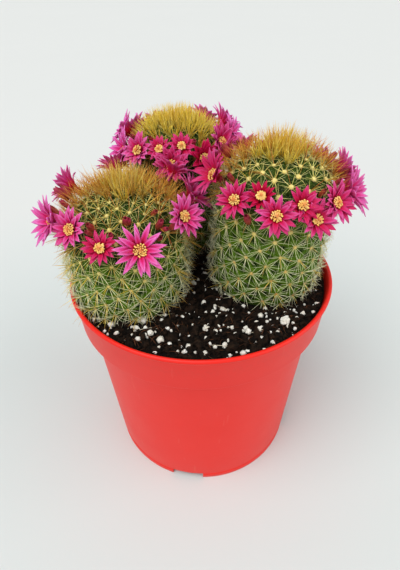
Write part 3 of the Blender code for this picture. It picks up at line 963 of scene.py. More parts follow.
# %% Spine finish
def make_spine_finish(name, base, middle, tip, young, tip_start):
    """Horny, slightly clear spine: colour runs from base to tip, and towards gold on young growth."""
    made, tree, shader = new_finish(name, 0.34, Specular_IOR_Level=0.5)
    place = trait(tree, "along")
    low = blend(tree, ramp(tree, place, 0.0, 0.35), base, middle)
    tipped = blend(tree, ramp(tree, place, tip_start, 1.0), low, tip)
    aged = blend(tree, trait(tree, "young"), tipped, young)
    darker = blend(tree, trait(tree, "tone"), aged, tip)
    _, patches = mottle(tree, 260.0, 2.0, (0, 0, 0), (1, 1, 1))
    worn = blend(tree, combine(tree, "MULTIPLY", patches, 0.25), darker, base)
    tree.links.new(worn, shader.inputs["Base Color"])
    relief(tree, shader, grain(tree, 2500.0, 0.5), 0.2, 0.00005)
    return made


RADIAL = make_spine_finish(
    "ivory_radial_spine", base=(0.92, 0.90, 0.40), middle=(0.98, 0.99, 0.72), tip=(0.98, 0.98, 0.76),
    young=(0.96, 0.84, 0.18), tip_start=0.7)
CENTRAL = make_spine_finish(
    "straw_central_spine", base=(0.94, 0.78, 0.16), middle=(0.97, 0.78, 0.16), tip=(0.66, 0.14, 0.03),
    young=(0.98, 0.70, 0.08), tip_start=0.50)
GOLD = make_spine_finish(
    "golden_crown_spine", base=(0.90, 0.70, 0.05), middle=(0.99, 0.80, 0.08), tip=(0.70, 0.24, 0.01),
    young=(0.99, 0.90, 0.30), tip_start=0.72)
BROWN = make_spine_finish(
    "russet_crown_spine", base=(0.90, 0.72, 0.07), middle=(0.99, 0.78, 0.10), tip=(0.54, 0.13, 0.01),
    young=(0.99, 0.92, 0.34), tip_start=0.58)


# %% Radial spines
LAST_SHARE = 9.0
DOME_SHARE, DOME_RADIALS = 0.9, 0.68


def grow_radials(side, count, length, lift):
    """Low fans of thin pale spines on every areole, fewer of them over the dome."""
    frames = AREOLES[side]
    place, out, _, _, share = frames
    index, ways, level = fan(frames, count, 8, lift, 0.0, LAST_SHARE)
    kept = rng.random(len(index)) < np.where(share[index] < DOME_SHARE, DOME_RADIALS, 1.0)
    index, ways, level = index[kept], ways[kept], level[kept]
    size = len(index)
    reach = length * rng.uniform(0.78, 1.15, size) * np.clip(0.62 + 0.5 * share[index], 0.7, 1.0)
    roots = place[index] + out[index] * 0.25 + level * 0.35
    young = np.clip(2.6 - 2 * share[index], 0, 1) * rng.uniform(0.5, 1.0, size)
    return grow(
        f"radial_spines_{side}", roots, ways, -out[index], reach, rng.uniform(0.095, 0.135, size),
        rng.uniform(-0.04, 0.06, size), tone=rng.uniform(0, 0.15, size), young=young,
    )


# %% [markdown]
# The central spines are crowded on the sides and back of each dome, and sparse in front, where the plant
# was turned to the light and has grown fastest. Below the flowers most areoles have lost them, and the few
# that are left are shorter and hang down a little. So each spine is drawn first, then kept or dropped by
# chance.


# %% Central spines
def grow_centrals(side, count, length, brown, front, low_share, low_length, brush_end):
    """Longer coloured spines that stand nearly straight out; low is 1 for those below the brush's end."""
    frames = AREOLES[side]
    place, out, _, down, share = frames
    index, ways, level = fan(frames, count, 28, 84, CROWN_EDGE[side], LAST_SHARE)
    low = np.clip((share[index] - brush_end) * 6.0, 0, 1)
    level_out = -out[index, 1] / (np.hypot(out[index, 0], out[index, 1]) + 1e-6)
    toward_light = np.clip((level_out - 0.10) * 2.2, 0, 1)
    wanted = (1 - front * toward_light) * (1 - low) + low_share * low
    kept = rng.random(len(index)) < wanted
    index, ways, level, low = index[kept], ways[kept], level[kept], low[kept]
    size = len(index)
    ways = ways + down[index] * (0.45 * low)[:, None] + rng.normal(0, 0.10, ways.shape)
    ways /= np.linalg.norm(ways, axis=1)[:, None]
    reach = rng.uniform(0.62, 1.15, size) * (length + (low_length - length) * low)
    roots = place[index] + out[index] * 0.3 + level * rng.uniform(0.1, 0.9, size)[:, None]
    young = np.clip(1.5 - share[index], 0, 1) * rng.uniform(0.2, 1.0, size)
    return grow(
        f"central_spines_{side}", roots, ways, down[index] + 0.3 * level, reach,
        rng.uniform(0.10, 0.145, size), rng.uniform(-0.06, 0.10, size),
        tone=np.clip(rng.uniform(0, brown, size) * (1 - 0.8 * low), 0, 1), young=young,
    )


# %% Crown spines
def grow_crown(side, count, length, brown, splay):
    """The tuft of young golden spines over the tip: upright in the middle, spread wide at its edge."""
    frames = AREOLES[side]
    place, out, _, _, share = frames
    edge = CROWN_EDGE[side]
    index, ways, level = fan(frames, count, 20, 80, 0.0, edge)
    size = len(index)
    centre = 1.0 - np.clip(share[index] / edge, 0, 1)
    upright = np.array([0.0, 0.0, 1.0])
    ways = splay * ways + out[index] * 0.6 + upright * (0.35 * centre)[:, None]
    ways += rng.normal(0, 0.08, ways.shape) + rng.normal(0, 0.16, place.shape)[index]
    ways /= np.linalg.norm(ways, axis=1)[:, None]
    reach = length * rng.uniform(0.55, 1.10, size) * (0.54 + 0.46 * np.sqrt(centre))
    roots = place[index] + out[index] * 0.2 + level * rng.uniform(0.1, 1.6, size)[:, None]
    tuft_tone = rng.uniform(0, 1, len(place))[index]
    tone = brown * (0.5 * rng.uniform(0, 1, size) ** 2 + 0.7 * tuft_tone ** 3)
    tone = tone + 0.35 * np.clip(centre - 0.5, 0, 1)
    return grow(
        f"crown_spines_{side}_fine", roots, ways, -out[index] - upright, reach,
        rng.uniform(0.12, 0.19, size), rng.uniform(-0.14, 0.10, size), tone=np.clip(tone, 0, 1),
        young=rng.uniform(0.0, 1.0, size) ** 1.3,
    )


# %% [markdown]
# Each stem has its own habit. Lengths are in millimetres. `brown` is how dark the tips run, `front` how bare
# the side towards the light is, `low_share` how many centrals are left below `brush_end`, and `splay` how far
# the crown's spines spread. Shares run from 0 at the tip to 1 at the shoulder, and `CROWN_EDGE` is the share
# where the crown ends.

# %% Grow them on all three stems
CROWN_EDGE = {"left": 0.28, "right": 0.29, "back": 0.86}
HABITS = {
    "left": dict(
        radials=dict(count=15, length=7.2, lift=42),
        centrals=dict(
            count=22, length=10.2, brown=1.1, front=0.80, low_share=0.12, low_length=8.4, brush_end=0.90),
        crown=dict(count=30, length=13.0, brown=0.85, splay=0.72), crown_finish=BROWN),
    "right": dict(
        radials=dict(count=16, length=6.4, lift=40),
        centrals=dict(
            count=22, length=9.2, brown=1.1, front=0.94, low_share=0.07, low_length=5.4, brush_end=0.88),
        crown=dict(count=30, length=11.8, brown=0.75, splay=0.72), crown_finish=GOLD),
    "back": dict(
        radials=dict(count=14, length=5.6, lift=40),
        centrals=dict(
            count=14, length=7.8, brown=0.6, front=0.50, low_share=0.12, low_length=5.4, brush_end=0.90),
        crown=dict(count=36, length=9.4, brown=0.25, splay=0.64), crown_finish=GOLD),
}
for side, habit in HABITS.items():
    thing = grow_radials(side, **habit["radials"])
    thing.data.materials.append(RADIAL)
    finish(thing, "spines")
    thing = grow_centrals(side, **habit["centrals"])
    thing.data.materials.append(CENTRAL)
    finish(thing, "spines")
    thing = grow_crown(side, **habit["crown"])
    thing.data.materials.append(habit["crown_finish"])
    finish(thing, "spines", f"crown_spines_{side}")

# %% [markdown]
# ## Areole wool
# A little cushion of felt sits at the root of each spine cluster: cream and fat near the crown, thinner and
# browner lower down as it weathers. The pattern is a small flattened ball.


# %% Wool cushions
def make_wool_finish():
    """Felted wool that browns with age."""
    made, tree, shader = new_finish("areole_wool", 0.95, Sheen_Weight=0.5)
    shader.inputs["Sheen Roughness"].default_value = 0.4
    fresh, _ = mottle(tree, 900.0, 3.0, (0.92, 0.82, 0.36), (0.82, 0.68, 0.22))
    aged = blend(tree, trait(tree, "age"), fresh, (0.62, 0.33, 0.07))
    tree.links.new(aged, shader.inputs["Base Color"])
    relief(tree, shader, grain(tree, 2200.0, 1.5), 0.8, 0.0003)
    return made


WOOL = make_wool_finish()
FULLNESS = {"left": 0.68, "right": 0.88, "back": 0.75}
WOOL_FLATNESS, WOOL_UNEVENNESS = 0.62, 0.07
bpy.ops.mesh.primitive_uv_sphere_add(segments=8, ring_count=5, radius=1.0)
tuft = bpy.context.object
for side, fullness in FULLNESS.items():
    place, out, sideways, down, share = AREOLES[side]
    size = 1.30 - 0.65 * np.clip(share - 0.85, 0, 1) + rng.normal(0, WOOL_UNEVENNESS, len(place))
    size *= fullness
    size *= np.clip(0.35 + 1.3 * share, 0.5, 1.0)
    local = coords(tuft)
    points = (local[None, :, 0:1] * size[:, None, None] * sideways[:, None]
              + local[None, :, 1:2] * size[:, None, None] * down[:, None]
              + local[None, :, 2:3] * (size * WOOL_FLATNESS)[:, None, None] * out[:, None])
    points *= 1.0 + rng.normal(0, WOOL_UNEVENNESS, points.shape[:2] + (1,))
    points += (place + out * 0.25)[:, None]
    wool = copies(f"areole_wool_{side}", tuft, points * MM, age=np.clip((share - 1.1) * 0.9, 0, 1))
    wool.data.materials.append(WOOL)
    finish(wool, "spines")
drop(tuft)

# %% [markdown]
# ## Flowers
# Each flower is a short tube with two whorls of pointed petals. Deep crimson at the throat, the petals pale
# to lilac-pink at the tips, with a darker midrib. In the middle a ring of cream-yellow stamens surrounds the
# stigma. A petal starts as a flat grid whose rows are scaled to a lance shape and then given thickness, and
# each copy is bent along its length: steep in the throat, spreading at the tip.

# %% One flat petal
ROWS = 5
OUTLINE = [0.56, 0.80, 1.0, 0.95, 0.60, 0.04]
bpy.ops.mesh.primitive_grid_add(x_subdivisions=4, y_subdivisions=ROWS, size=2.0)
petal = bpy.context.object
points = coords(petal)
points[:, 1] = (points[:, 1] + 1.0) / 2.0
set_coords(petal, points)
edit(petal)
for row, share in enumerate(OUTLINE):
    level = row / ROWS
    pick(petal, lambda co, y=level: abs(co.y - y) < 0.01)
    bpy.ops.transform.resize(value=(share, 1.0, 1.0))
bpy.ops.object.mode_set(mode="OBJECT")
thick = petal.modifiers.new("thickness", "SOLIDIFY")
thick.thickness = 2.0
thick.offset = 0.0
apply_all(petal)
print("petal pattern", len(petal.data.polygons), "faces")

# %% One anther and one filament
bpy.ops.mesh.primitive_ico_sphere_add(subdivisions=1, radius=1.0)
anther = bpy.context.object
bpy.ops.mesh.primitive_cone_add(vertices=5, radius1=1.0, radius2=0.6, depth=1.0, location=(0, 0, 0.5))
filament = bpy.context.object
apply_all(filament)

# %% One tube with its hollow throat
bpy.ops.mesh.primitive_cone_add(vertices=16, radius1=0.55, radius2=1.0, depth=1.0, location=(0, 0, 0.5))
tube = bpy.context.object
apply_all(tube)
edit(tube, "FACE")
pick(tube, lambda co: co.z > 0.99, "FACE")
bpy.ops.mesh.inset(thickness=0.14)
bpy.ops.mesh.extrude_region_move(TRANSFORM_OT_translate={"value": (0, 0, -0.35)})
bpy.ops.transform.resize(value=(0.6, 0.6, 1.0))
bpy.ops.object.mode_set(mode="OBJECT")
print("tube pattern", len(tube.data.polygons), "faces")


# %% Bending a petal
BEND_STEPS = 40
HALF_THICKNESS = 0.11


def bend_petal(length, width, start, low, high, channel, twist, wave):
    """Petal points (mm) from radius start; their slope eases from high at the throat to low at the tip."""
    flat = coords(petal)
    across, along, side = flat[:, 0], flat[:, 1], flat[:, 2]
    steps = np.linspace(0, 1, BEND_STEPS + 1)
    ease = steps ** 0.75
    slope = np.radians(high + (low - high) * ease)
    gap = length / BEND_STEPS
    reach = start + np.concatenate([[0], np.cumsum(np.cos(slope[1:]) * gap)])
    rise = np.concatenate([[0], np.cumsum(np.sin(slope[1:]) * gap)])
    r, h = np.interp(along, steps, reach), np.interp(along, steps, rise)
    tilt = np.interp(along, steps, slope)
    lift = channel * width * across ** 2 + HALF_THICKNESS * side + wave * np.sin(along * 7 + across * 2)
    r = r - np.sin(tilt) * lift
    h = h + np.cos(tilt) * lift
    sideways = across * width / 2 + twist * along ** 2 * length
    return np.column_stack([r, sideways, h]), along, across


# %% Putting petals, stamens and tube together
def turn_z(points, angle):
    """Turn points about Z."""
    x, y, z = points.T
    c, s = math.cos(angle), math.sin(angle)
    return np.column_stack([x * c - y * s, x * s + y * c, z])


class Bouquet:
    """Collects bits of one flower, with their traits and materials, into one mesh."""

    def __init__(self):
        self.points, self.sizes, self.corners, self.slots = [], [], [], []
        self.traits = {"along": [], "across": [], "tone": []}
        self.count = 0

    def add(self, pattern, points, slot, along=0.0, across=0.0, tone=0.0):
        sizes, corners = face_table(pattern)
        self.points.append(points)
        self.sizes.append(sizes)
        self.corners.append(corners + self.count)
        self.slots.append(np.full(len(sizes), slot))
        for key, value in (("along", along), ("across", across), ("tone", tone)):
            self.traits[key].append(np.broadcast_to(value, len(points)))
        self.count += len(points)

    def build(self, name, place, materials):
        points = place(np.concatenate(self.points))
        thing = mesh_from(name, points * MM, np.concatenate(self.sizes), np.concatenate(self.corners))
        thing.data.polygons.foreach_set("material_index", np.concatenate(self.slots).astype(np.int32))
        for key, values in self.traits.items():
            layer = thing.data.attributes.new(key, "FLOAT", "POINT")
            layer.data.foreach_set("value", np.concatenate(values).astype(np.float32))
        for finish_material in materials:
            thing.data.materials.append(finish_material)
        return thing


THROAT = 1.5
TUBE_LENGTH = 5.5
FEWEST_INNER = 5


def make_flower_parts(radius, petals, tone, opening, ratio):
    """One flower about +Z with its face at z = 0; ratio is a petal's width over its length."""
    parts = Bouquet()
    drop_z = 2.6 + (1 - opening) * 1.5
    shift = rng.uniform(0, 2 * math.pi)
    for whorl in range(2):
        count = petals if whorl == 0 else max(FEWEST_INNER, int(petals * 0.62))
        for k in range(count):
            angle = shift + (k + 0.5 * whorl) * 2 * math.pi / count + rng.normal(0, 0.07)
            span = radius * rng.uniform(0.90, 1.06) * (1.0 if whorl == 0 else 0.9) - THROAT * 0.55
            length = span * (1.18 + 0.25 * (1 - opening))
            low = (-6 if whorl == 0 else 12) + (1 - opening) * 58 + rng.normal(0, 6)
            high = 62 + (1 - opening) * 20
            shape, along, across = bend_petal(
                length, length * ratio * rng.uniform(0.88, 1.1), THROAT * (1.0 if whorl == 0 else 0.8),
                low, high, rng.uniform(0.16, 0.32), rng.normal(0, 0.04), rng.normal(0, 0.09),
            )
            shape[:, 2] -= drop_z - 0.25 * whorl
            own_tone = np.clip(tone + rng.normal(0, 0.08), 0, 1)
            parts.add(petal, turn_z(shape, angle), 0, along, across, own_tone)
    collar = coords(tube) * [THROAT * 1.05, THROAT * 1.05, TUBE_LENGTH]
    parts.add(tube, collar - [0, 0, drop_z + TUBE_LENGTH - 0.5], 1, coords(tube)[:, 2])
    return parts, drop_z


STAMENS, STIGMA_LOBES = 40, 5


def add_stamens(parts, drop_z, spread):
    """A ring of stamens, in the same golden-angle order as the areoles, and a lobed stigma in the middle."""
    for k in range(STAMENS):
        angle = GOLDEN_ANGLE * k + rng.normal(0, 0.1)
        share = math.sqrt((k + 0.5) / STAMENS)
        foot = np.array([0.5 * share * math.cos(angle), 0.5 * share * math.sin(angle), -drop_z])
        head_r = spread * share
        head_z = 0.55 - 0.75 * share + rng.normal(0, 0.12)
        head = np.array([head_r * math.cos(angle), head_r * math.sin(angle), head_z])
        way = head - foot
        length = np.linalg.norm(way)
        way /= length
        side_way = np.cross(way, [0.3, 0.9, 0.2])
        side_way /= np.linalg.norm(side_way)
        third = np.cross(way, side_way)
        base = np.stack([side_way, third, way])
        parts.add(filament, foot + (coords(filament) * [0.13, 0.13, length]) @ base, 2, tone=0.0)
        size = rng.uniform(0.30, 0.46)
        ripe = 0.55 + 0.45 * share
        parts.add(anther, head + (coords(anther) * [size, size, size * 0.8]) @ base, 2, tone=ripe)
    for k in range(STIGMA_LOBES):
        angle = 2 * math.pi * k / STIGMA_LOBES
        knob = coords(anther) * [0.26, 0.26, 0.42] + [0.34 * math.cos(angle), 0.34 * math.sin(angle), 1.0]
        parts.add(anther, knob, 2, tone=0.45)


# %% [markdown]
# Petals are thin and silky, so light passes through them a little. `tone` sets each flower between crimson
# and lilac, `along` and `across` place the dark throat and midrib and the pale edges and tip, and a noise
# stretched along the petal draws its veins. The tube and the stamens need only a blend or two.

# %% Flower finishes
def make_petal_finish():
    """Silky petal: crimson throat and midrib, magenta body, lilac-pink edges and tip, fine veins."""
    made, tree, shader = new_finish(
        "silky_magenta_petal", 0.5, Specular_IOR_Level=0.25, Subsurface_Weight=0.55)
    shader.inputs["Subsurface Radius"].default_value = (0.0014, 0.0008, 0.0012)
    along, across, tone = trait(tree, "along"), trait(tree, "across"), trait(tree, "tone")
    body = blend(tree, tone, (0.56, 0.003, 0.048), (0.80, 0.034, 0.340))
    lilac = ramp(tree, tone, 0.10, 0.90)
    pale = blend(tree, lilac, (0.66, 0.014, 0.150), (0.90, 0.400, 0.820))
    tipward = ramp(tree, along, 0.50, 0.98)
    edge = combine(tree, "MULTIPLY", across, across)
    pale_tip, pale_edge = combine(tree, "MULTIPLY", tipward, 0.80), combine(tree, "MULTIPLY", edge, 0.40)
    coloured = blend(tree, combine(tree, "ADD", pale_tip, pale_edge), body, pale)
    rib = combine(tree, "MULTIPLY", ramp(tree, edge, 0.09, 0.0), ramp(tree, along, 1.0, 0.3))
    ribbed = blend(tree, combine(tree, "MULTIPLY", rib, 0.6), coloured, (0.58, 0.004, 0.10))
    throat = blend(tree, ramp(tree, along, 0.52, 0.15), ribbed, (0.62, 0.006, 0.030))
    lengthwise = node(tree, "ShaderNodeCombineXYZ")
    tree.links.new(combine(tree, "MULTIPLY", across, 9.0), lengthwise.inputs["X"])
    tree.links.new(along, lengthwise.inputs["Y"])
    tree.links.new(tone, lengthwise.inputs["Z"])
    veins = node(tree, "ShaderNodeTexNoise", Scale=2.2, Detail=2.0)
    tree.links.new(lengthwise.outputs["Vector"], veins.inputs["Vector"])
    vein_lines = combine(tree, "MULTIPLY", ramp(tree, veins.outputs["Fac"], 0.5, 0.75), 0.3)
    veined = blend(tree, vein_lines, throat, (0.58, 0.008, 0.18))
    tree.links.new(veined, shader.inputs["Base Color"])
    relief(tree, shader, veins.outputs["Fac"], 0.35, 0.0002)
    return made


def make_tube_finish():
    """The tube: greenish at its foot, crimson at the mouth."""
    made, tree, shader = new_finish("crimson_tube", 0.5, Subsurface_Weight=0.1)
    shader.inputs["Subsurface Radius"].default_value = (0.001, 0.0006, 0.0006)
    base, _ = mottle(tree, 500.0, 2.0, (0.34, 0.05, 0.05), (0.22, 0.05, 0.03))
    mouth = blend(tree, ramp(tree, trait(tree, "along"), 0.3, 1.0), base, (0.50, 0.010, 0.06))
    tree.links.new(mouth, shader.inputs["Base Color"])
    relief(tree, shader, grain(tree, 1500.0, 1.0), 0.3, 0.0002)
    return made


def make_stamen_finish():
    """Powdery cream-yellow anthers on pinkish filaments."""
    made, tree, shader = new_finish("pollen_and_filament", 0.8)
    dusted, _ = mottle(tree, 900.0, 3.0, (0.98, 0.82, 0.36), (0.94, 0.66, 0.16))
    coloured = blend(tree, trait(tree, "tone"), (0.85, 0.16, 0.06), dusted)
    tree.links.new(coloured, shader.inputs["Base Color"])
    relief(tree, shader, grain(tree, 3500.0, 0.5), 0.6, 0.0001)
    return made


PETAL, TUBE, STAMEN = make_petal_finish(), make_tube_finish(), make_stamen_finish()

# %% [markdown]
# The list below gives each flower its own place and habit, because no two open alike: azimuth round the
# stem, height, distance from the stem's axis, radius, how far it looks up, how far it turns from straight
# out, number of petals, tone from crimson to lilac, and how far it is open.

# %% Where the flowers are
FLOWERS = {
    "left": [
        (-72, 136.0, 29.5, 9.0, 34, -6, 13, 0.78, 1.0), (-100, 137.5, 29.0, 6.0, 38, 5, 13, 0.24, 0.85),
        (-128, 141.0, 27.5, 7.2, 38, 12, 14, 0.60, 0.8), (-149, 140.5, 29.5, 9.6, 24, 4, 13, 0.85, 0.6),
        (157, 143.0, 26.5, 8.8, 24, 10, 15, 0.65, 0.6), (105, 145.0, 27.5, 8.4, 45, 0, 13, 0.7, 0.8),
        (38, 147.5, 25.0, 8.6, 60, 0, 15, 0.55, 0.75), (14, 140.0, 28.5, 9.4, 40, -14, 15, 0.6, 0.75),
        (-30, 141.5, 28.5, 7.6, 32, -12, 14, 0.66, 0.8),
    ],
    "right": [
        (-133, 148.5, 27.8, 6.6, 36, 18, 13, 0.34, 0.9), (-113, 151.5, 25.8, 5.0, 44, 10, 11, 0.0, 0.8),
        (-99, 146.0, 28.8, 6.9, 34, 5, 13, 0.42, 0.95), (-80, 149.0, 26.8, 6.3, 40, 0, 12, 0.22, 0.85),
        (-68, 143.5, 28.8, 7.2, 34, 0, 13, 0.38, 0.9), (-48, 147.0, 27.8, 7.4, 34, -5, 14, 0.40, 0.75),
        (-24, 146.5, 28.5, 9.4, 26, -5, 15, 0.72, 0.6), (6, 149.0, 26.6, 9.2, 28, 0, 15, 0.80, 0.65),
        (36, 146.5, 28.4, 8.6, 30, 0, 14, 0.85, 0.7), (64, 147.0, 28.2, 8.2, 34, 0, 13, 0.9, 0.8),
        (90, 148.0, 28.0, 8.0, 34, 0, 13, 0.7, 0.9), (117, 152.0, 27.0, 7.4, 44, 0, 13, 0.6, 0.8),
        (145, 151.5, 26.8, 8.8, 42, 0, 15, 0.45, 0.75), (-170, 151.5, 27.0, 9.0, 36, 14, 15, 0.32, 0.7),
    ],
    # Partly their own lilac and partly painted light: the flowers round the back stem's rear sit near tone 1,
    # lifted paler to offset the shade they stand in.
    "back": [
        (-108, 155.0, 23.0, 5.2, 42, 5, 12, 0.3, 0.9), (-84, 156.5, 23.0, 5.2, 42, 0, 12, 0.25, 0.9),
        (-95, 149.5, 25.5, 7.4, 26, 0, 14, 0.4, 0.65), (-132, 153.5, 25.0, 6.8, 36, 8, 14, 0.6, 0.75),
        (-157, 150.5, 26.0, 9.0, 26, 0, 15, 0.95, 0.65), (177, 156.0, 24.5, 8.0, 36, 0, 15, 1.0, 0.7),
        (149, 152.5, 25.5, 8.0, 35, 0, 13, 1.0, 0.8), (121, 153.0, 25.2, 7.2, 38, 0, 13, 0.9, 0.8),
        (92, 151.0, 25.6, 7.6, 33, 0, 13, 0.9, 0.9), (60, 155.0, 24.8, 7.4, 40, 0, 13, 1.0, 0.7),
        (27, 156.0, 24.5, 8.6, 36, 0, 15, 0.95, 0.7), (-8, 154.0, 25.0, 9.2, 32, 0, 15, 0.95, 0.65),
        (-36, 155.0, 24.5, 8.0, 36, -5, 14, 0.5, 0.65), (-62, 151.0, 25.5, 7.0, 30, -5, 12, 0.05, 0.5),
    ],
}


def on_stem(side, azimuth, height, away):
    """A point at this azimuth, height and distance from the stem's axis, in millimetres."""
    stem = STEMS[side]
    turn = math.radians(azimuth)
    share = (height - SOIL_TOP) / stem["height"]
    return np.array([
        stem["base"][0] + stem["drift"][0] * share + away * math.cos(turn),
        stem["base"][1] + stem["drift"][1] * share + away * math.sin(turn),
        height,
    ])


def look_of(azimuth, rise):
    """Unit vector at this azimuth and angle above level."""
    turn, up = math.radians(azimuth), math.radians(rise)
    return np.array([math.cos(turn) * math.cos(up), math.sin(turn) * math.cos(up), math.sin(up)])


def facing(middle, look):
    """A move that turns +Z to look this way and carries the origin to the middle."""
    turn = np.array(Vector(look).to_track_quat("Z", "Y").to_matrix())
    return lambda points: points @ turn.T + middle


# %% Make every flower
BIG_FLOWER = 8.0
BIG_RATIO, SMALL_RATIO, BACK_RATIO = 0.24, 0.31, 0.38
for side, flowers in FLOWERS.items():
    for number, (azimuth, height, away, radius, rise, swing, petals, tone, opening) in enumerate(flowers, 1):
        middle = on_stem(side, azimuth, height, away)
        ratio = BIG_RATIO if radius > BIG_FLOWER else BACK_RATIO if side == "back" else SMALL_RATIO
        parts, drop_z = make_flower_parts(radius, petals, tone, opening, ratio)
        add_stamens(parts, drop_z, 0.7 + 0.20 * radius)
        place = facing(middle, look_of(azimuth + swing, rise))
        flower = parts.build(f"bloom_{side}_{number:02d}", place, [PETAL, TUBE, STAMEN])
        finish(flower, "petals", f"flower_{side}_{number:02d}")

# %% [markdown]
# ## Buds
# Between the open flowers, pointed buds show dark red sepals folded over each other. They reuse the petal:
# two whorls of five, bent inwards at the tip, wrap a small core.


# %% Bud finish and builder
def make_bud_finish():
    """Dark red bud scales with paler edges."""
    made, tree, shader = new_finish("dark_red_bud", 0.45)
    base, _ = mottle(tree, 450.0, 2.5, (0.40, 0.050, 0.028), (0.20, 0.018, 0.018))
    edge = combine(tree, "MULTIPLY", trait(tree, "across"), trait(tree, "across"))
    edged = blend(tree, combine(tree, "MULTIPLY", edge, 0.5), base, (0.74, 0.20, 0.08))
    rosy_tip = combine(tree, "MULTIPLY", trait(tree, "tone"), ramp(tree, trait(tree, "along"), 0.2, 0.9))
    rosy = blend(tree, rosy_tip, edged, (0.55, 0.02, 0.16))
    tree.links.new(rosy, shader.inputs["Base Color"])
    relief(tree, shader, grain(tree, 1500.0, 1.0), 0.3, 0.0002)
    return made


BUD = make_bud_finish()
SEPALS = 5


def make_bud_parts(length, fat, tone):
    """A pointed bud about +Z with its foot at the origin."""
    parts = Bouquet()
    for whorl in range(2):
        for k in range(SEPALS):
            angle = (k + 0.5 * whorl) * 2 * math.pi / SEPALS + rng.normal(0, 0.05)
            shape, along, across = bend_petal(
                length * (1.0 - 0.08 * whorl), fat * 1.75, 0.25, 104, 62, 0.26, 0.02, 0.0)
            shape[:, 0] *= 1.0 - 0.18 * whorl
            parts.add(petal, turn_z(shape, angle), 0, along, across, tone)
    core = coords(anther) * [fat * 0.7, fat * 0.7, length * 0.40] + [0, 0, length * 0.42]
    parts.add(anther, core, 0, 0.4, 0.0, tone)
    return parts


# %% Buds that the CAD has
BUD_LENGTH, BUD_FATNESS, BUD_RISE, BUD_SINK = 6.4, 1.5, 55, 3.6
CAD_BUDS = {
    "left": [(-48, 140.0, 23.0), (-80, 143.0, 20.5), (-114, 141.0, 22.5)],
    "right": [(-121, 142.0, 26.5), (168, 157.5, 21.5)],
    "back": [(76, 158.0, 20.5)],
}
for side, buds in CAD_BUDS.items():
    for number, (azimuth, height, away) in enumerate(buds, 1):
        look = look_of(azimuth, BUD_RISE)
        foot = on_stem(side, azimuth, height, away) - look * BUD_SINK
        bud = make_bud_parts(BUD_LENGTH, BUD_FATNESS, rng.uniform(0, 0.4)).build(
            f"bud_{side}_{number}_scales", facing(foot, look), [BUD])
        finish(bud, "buds", f"bud_{side}_{number}")

# %% [markdown]
# Behind and between the open flowers sit younger buds and spent ones, half buried in the spines. They are
# the same bud in other lengths. The list gives azimuth, height, distance from the stem's axis and length.

# %% Small and spent buds
SMALL_BUDS = {
    "left": [
        (-48, 143.0, 19.6, 5.0), (-77, 142.5, 20.4, 4.4), (-93, 139.5, 24.1, 4.6), (-113, 139.5, 24.2, 4.6),
        (-47, 138.5, 25.0, 4.8), (-20, 142.0, 23.5, 5.4), (-136, 142.0, 23.6, 5.0), (-5, 143.5, 22.6, 5.2),
        (-62, 139.5, 24.4, 4.2), (-160, 143.5, 22.4, 5.0), (178, 144.5, 22.0, 5.4), (-160, 141.0, 26.4, 7.4),
        (172, 142.5, 25.6, 7.4), (-141, 139.5, 27.0, 6.6), (-12, 141.0, 26.4, 7.4), (-40, 139.0, 26.6, 6.8),
        (-22, 137.5, 27.0, 6.6), (-55, 137.0, 26.8, 5.6),
    ],
    "right": [
        (-124, 150.5, 22.6, 4.4), (-90, 145.0, 24.6, 4.6), (-58, 150.0, 23.2, 4.4), (-36, 151.0, 23.2, 5.0),
        (-150, 152.5, 22.6, 5.0), (-10, 152.5, 23.0, 5.4), (20, 152.5, 23.4, 5.4), (-4, 149.0, 24.8, 7.2),
        (16, 148.5, 25.4, 7.2), (-17, 148.0, 25.6, 6.8),
    ],
    "back": [
        (-120, 157.5, 20.4, 4.4), (-70, 156.5, 21.6, 4.4), (-145, 156.5, 21.6, 5.0), (-22, 158.0, 20.8, 5.0),
    ],
}
for side, buds in SMALL_BUDS.items():
    for number, (azimuth, height, away, length) in enumerate(buds, 1):
        look = look_of(azimuth + rng.normal(0, 8), rng.uniform(30, 60))
        foot = on_stem(side, azimuth, height, away) - look * length * 0.45
        bud = make_bud_parts(length, length * 0.2, rng.uniform(0, 0.5)).build(
            f"small_bud_{side}_{number:02d}", facing(foot, look), [BUD])
        finish(bud, "buds")

# %% [markdown]
# ## Floor, light and camera
# A pale seamless floor under a bright even sky, one very broad lamp high over the front left and a weak one
# low on the right, both far enough away to light the whole floor alike. A red pot throws warm light on the
# paper round its foot, so round the foot the paper is painted cooler and a little darker: a painted counter
# to that red light together with painted shade, so the floor still looks neutral. The camera looks down at
# the plant from close by, as a hand would hold it.

# %% Floor
bpy.ops.mesh.primitive_plane_add(size=12.0, location=(0, 0, 0))
floor = bpy.context.object
floor.name = "floor"
paper, tree, shader = new_finish("pale_paper", 0.75)
tint, _ = mottle(tree, 3.0, 1.0, (0.757, 0.773, 0.757), (0.743, 0.759, 0.743))
spread = node(tree, "ShaderNodeVectorMath", operation="LENGTH")
tree.links.new(node(tree, "ShaderNodeTexCoord").outputs["Object"], spread.inputs[0])
# Painted shade and a painted counter to the pot's red light: the paper is darker and cooler within about 0.3
# m of the pot.
painted_tint_near_pot = ramp(tree, spread.outputs["Value"], 0.32, 0.04)
tree.links.new(blend(tree, painted_tint_near_pot, tint, (0.655, 0.738, 0.725)), shader.inputs["Base Color"])
floor.data.materials.append(paper)

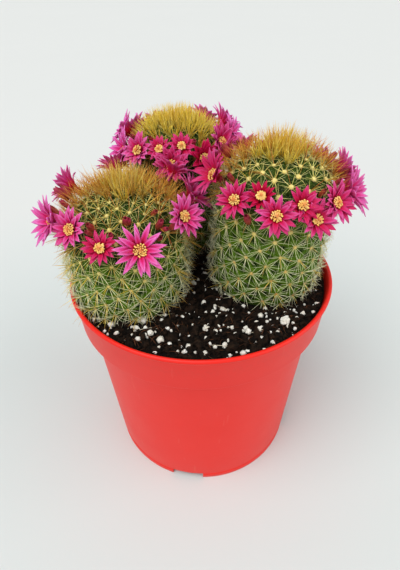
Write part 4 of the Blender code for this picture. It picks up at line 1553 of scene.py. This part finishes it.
# %% Sky and lamps
sky = bpy.data.worlds.new("soft_sky")
bpy.context.scene.world = sky
sky.use_nodes = True
sky.node_tree.nodes["Background"].inputs["Color"].default_value = (0.985, 0.995, 1.0, 1.0)
sky.node_tree.nodes["Background"].inputs["Strength"].default_value = 0.50


def broad_lamp(name, way, power, spread):
    """A lamp so broad and far away that its light is even; way is the direction its light travels."""
    data = bpy.data.lights.new(name, "SUN")
    data.energy = power
    data.angle = math.radians(spread)
    lamp = bpy.data.objects.new(name, data)
    lamp.rotation_euler = Vector(way).to_track_quat("-Z", "Y").to_euler()
    bpy.context.scene.collection.objects.link(lamp)


broad_lamp("key_lamp", (0.58, 0.68, -1.35), 1.95, 54)
broad_lamp("fill_lamp", (-1.0, 0.35, -0.55), 0.90, 60)

# %% Camera
CAMERA_DISTANCE, AIM_HEIGHT = 0.20111, 0.09155
LENS_MM, SENSOR_MM = 26.06, 36.0
camera_data = bpy.data.cameras.new("camera")
camera_data.sensor_width = SENSOR_MM
camera_data.lens = LENS_MM
camera_data.clip_start = 0.01
camera = bpy.data.objects.new("camera", camera_data)
bpy.context.scene.collection.objects.link(camera)
rise, roll, pan = math.radians(37.834), math.radians(-0.857), math.radians(-0.141)
camera.location = (
    0.0, -CAMERA_DISTANCE * math.cos(rise), AIM_HEIGHT + CAMERA_DISTANCE * math.sin(rise))
ahead = Vector((0, math.cos(rise), -math.sin(rise)))
right = Vector((1, 0, 0))
up = right.cross(ahead)
ahead, right = ahead * math.cos(pan) + right * math.sin(pan), right * math.cos(pan) - ahead * math.sin(pan)
right, up = right * math.cos(roll) + up * math.sin(roll), up * math.cos(roll) - right * math.sin(roll)
camera.rotation_mode = "QUATERNION"
camera.rotation_quaternion = Matrix((right, up, -ahead)).transposed().to_quaternion()
bpy.context.scene.camera = camera
bpy.context.scene.view_settings.view_transform = "Standard"
bpy.context.scene.view_settings.gamma = 0.86

# %% Clear the patterns and count the triangles
drop(spine, petal, anther, filament, tube)
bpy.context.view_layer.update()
triangles = sum(len(p.vertices) - 2 for o in bpy.data.objects if o.type == "MESH" and "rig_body" in o
                for p in o.data.polygons)
print("triangles in new pieces:", triangles)
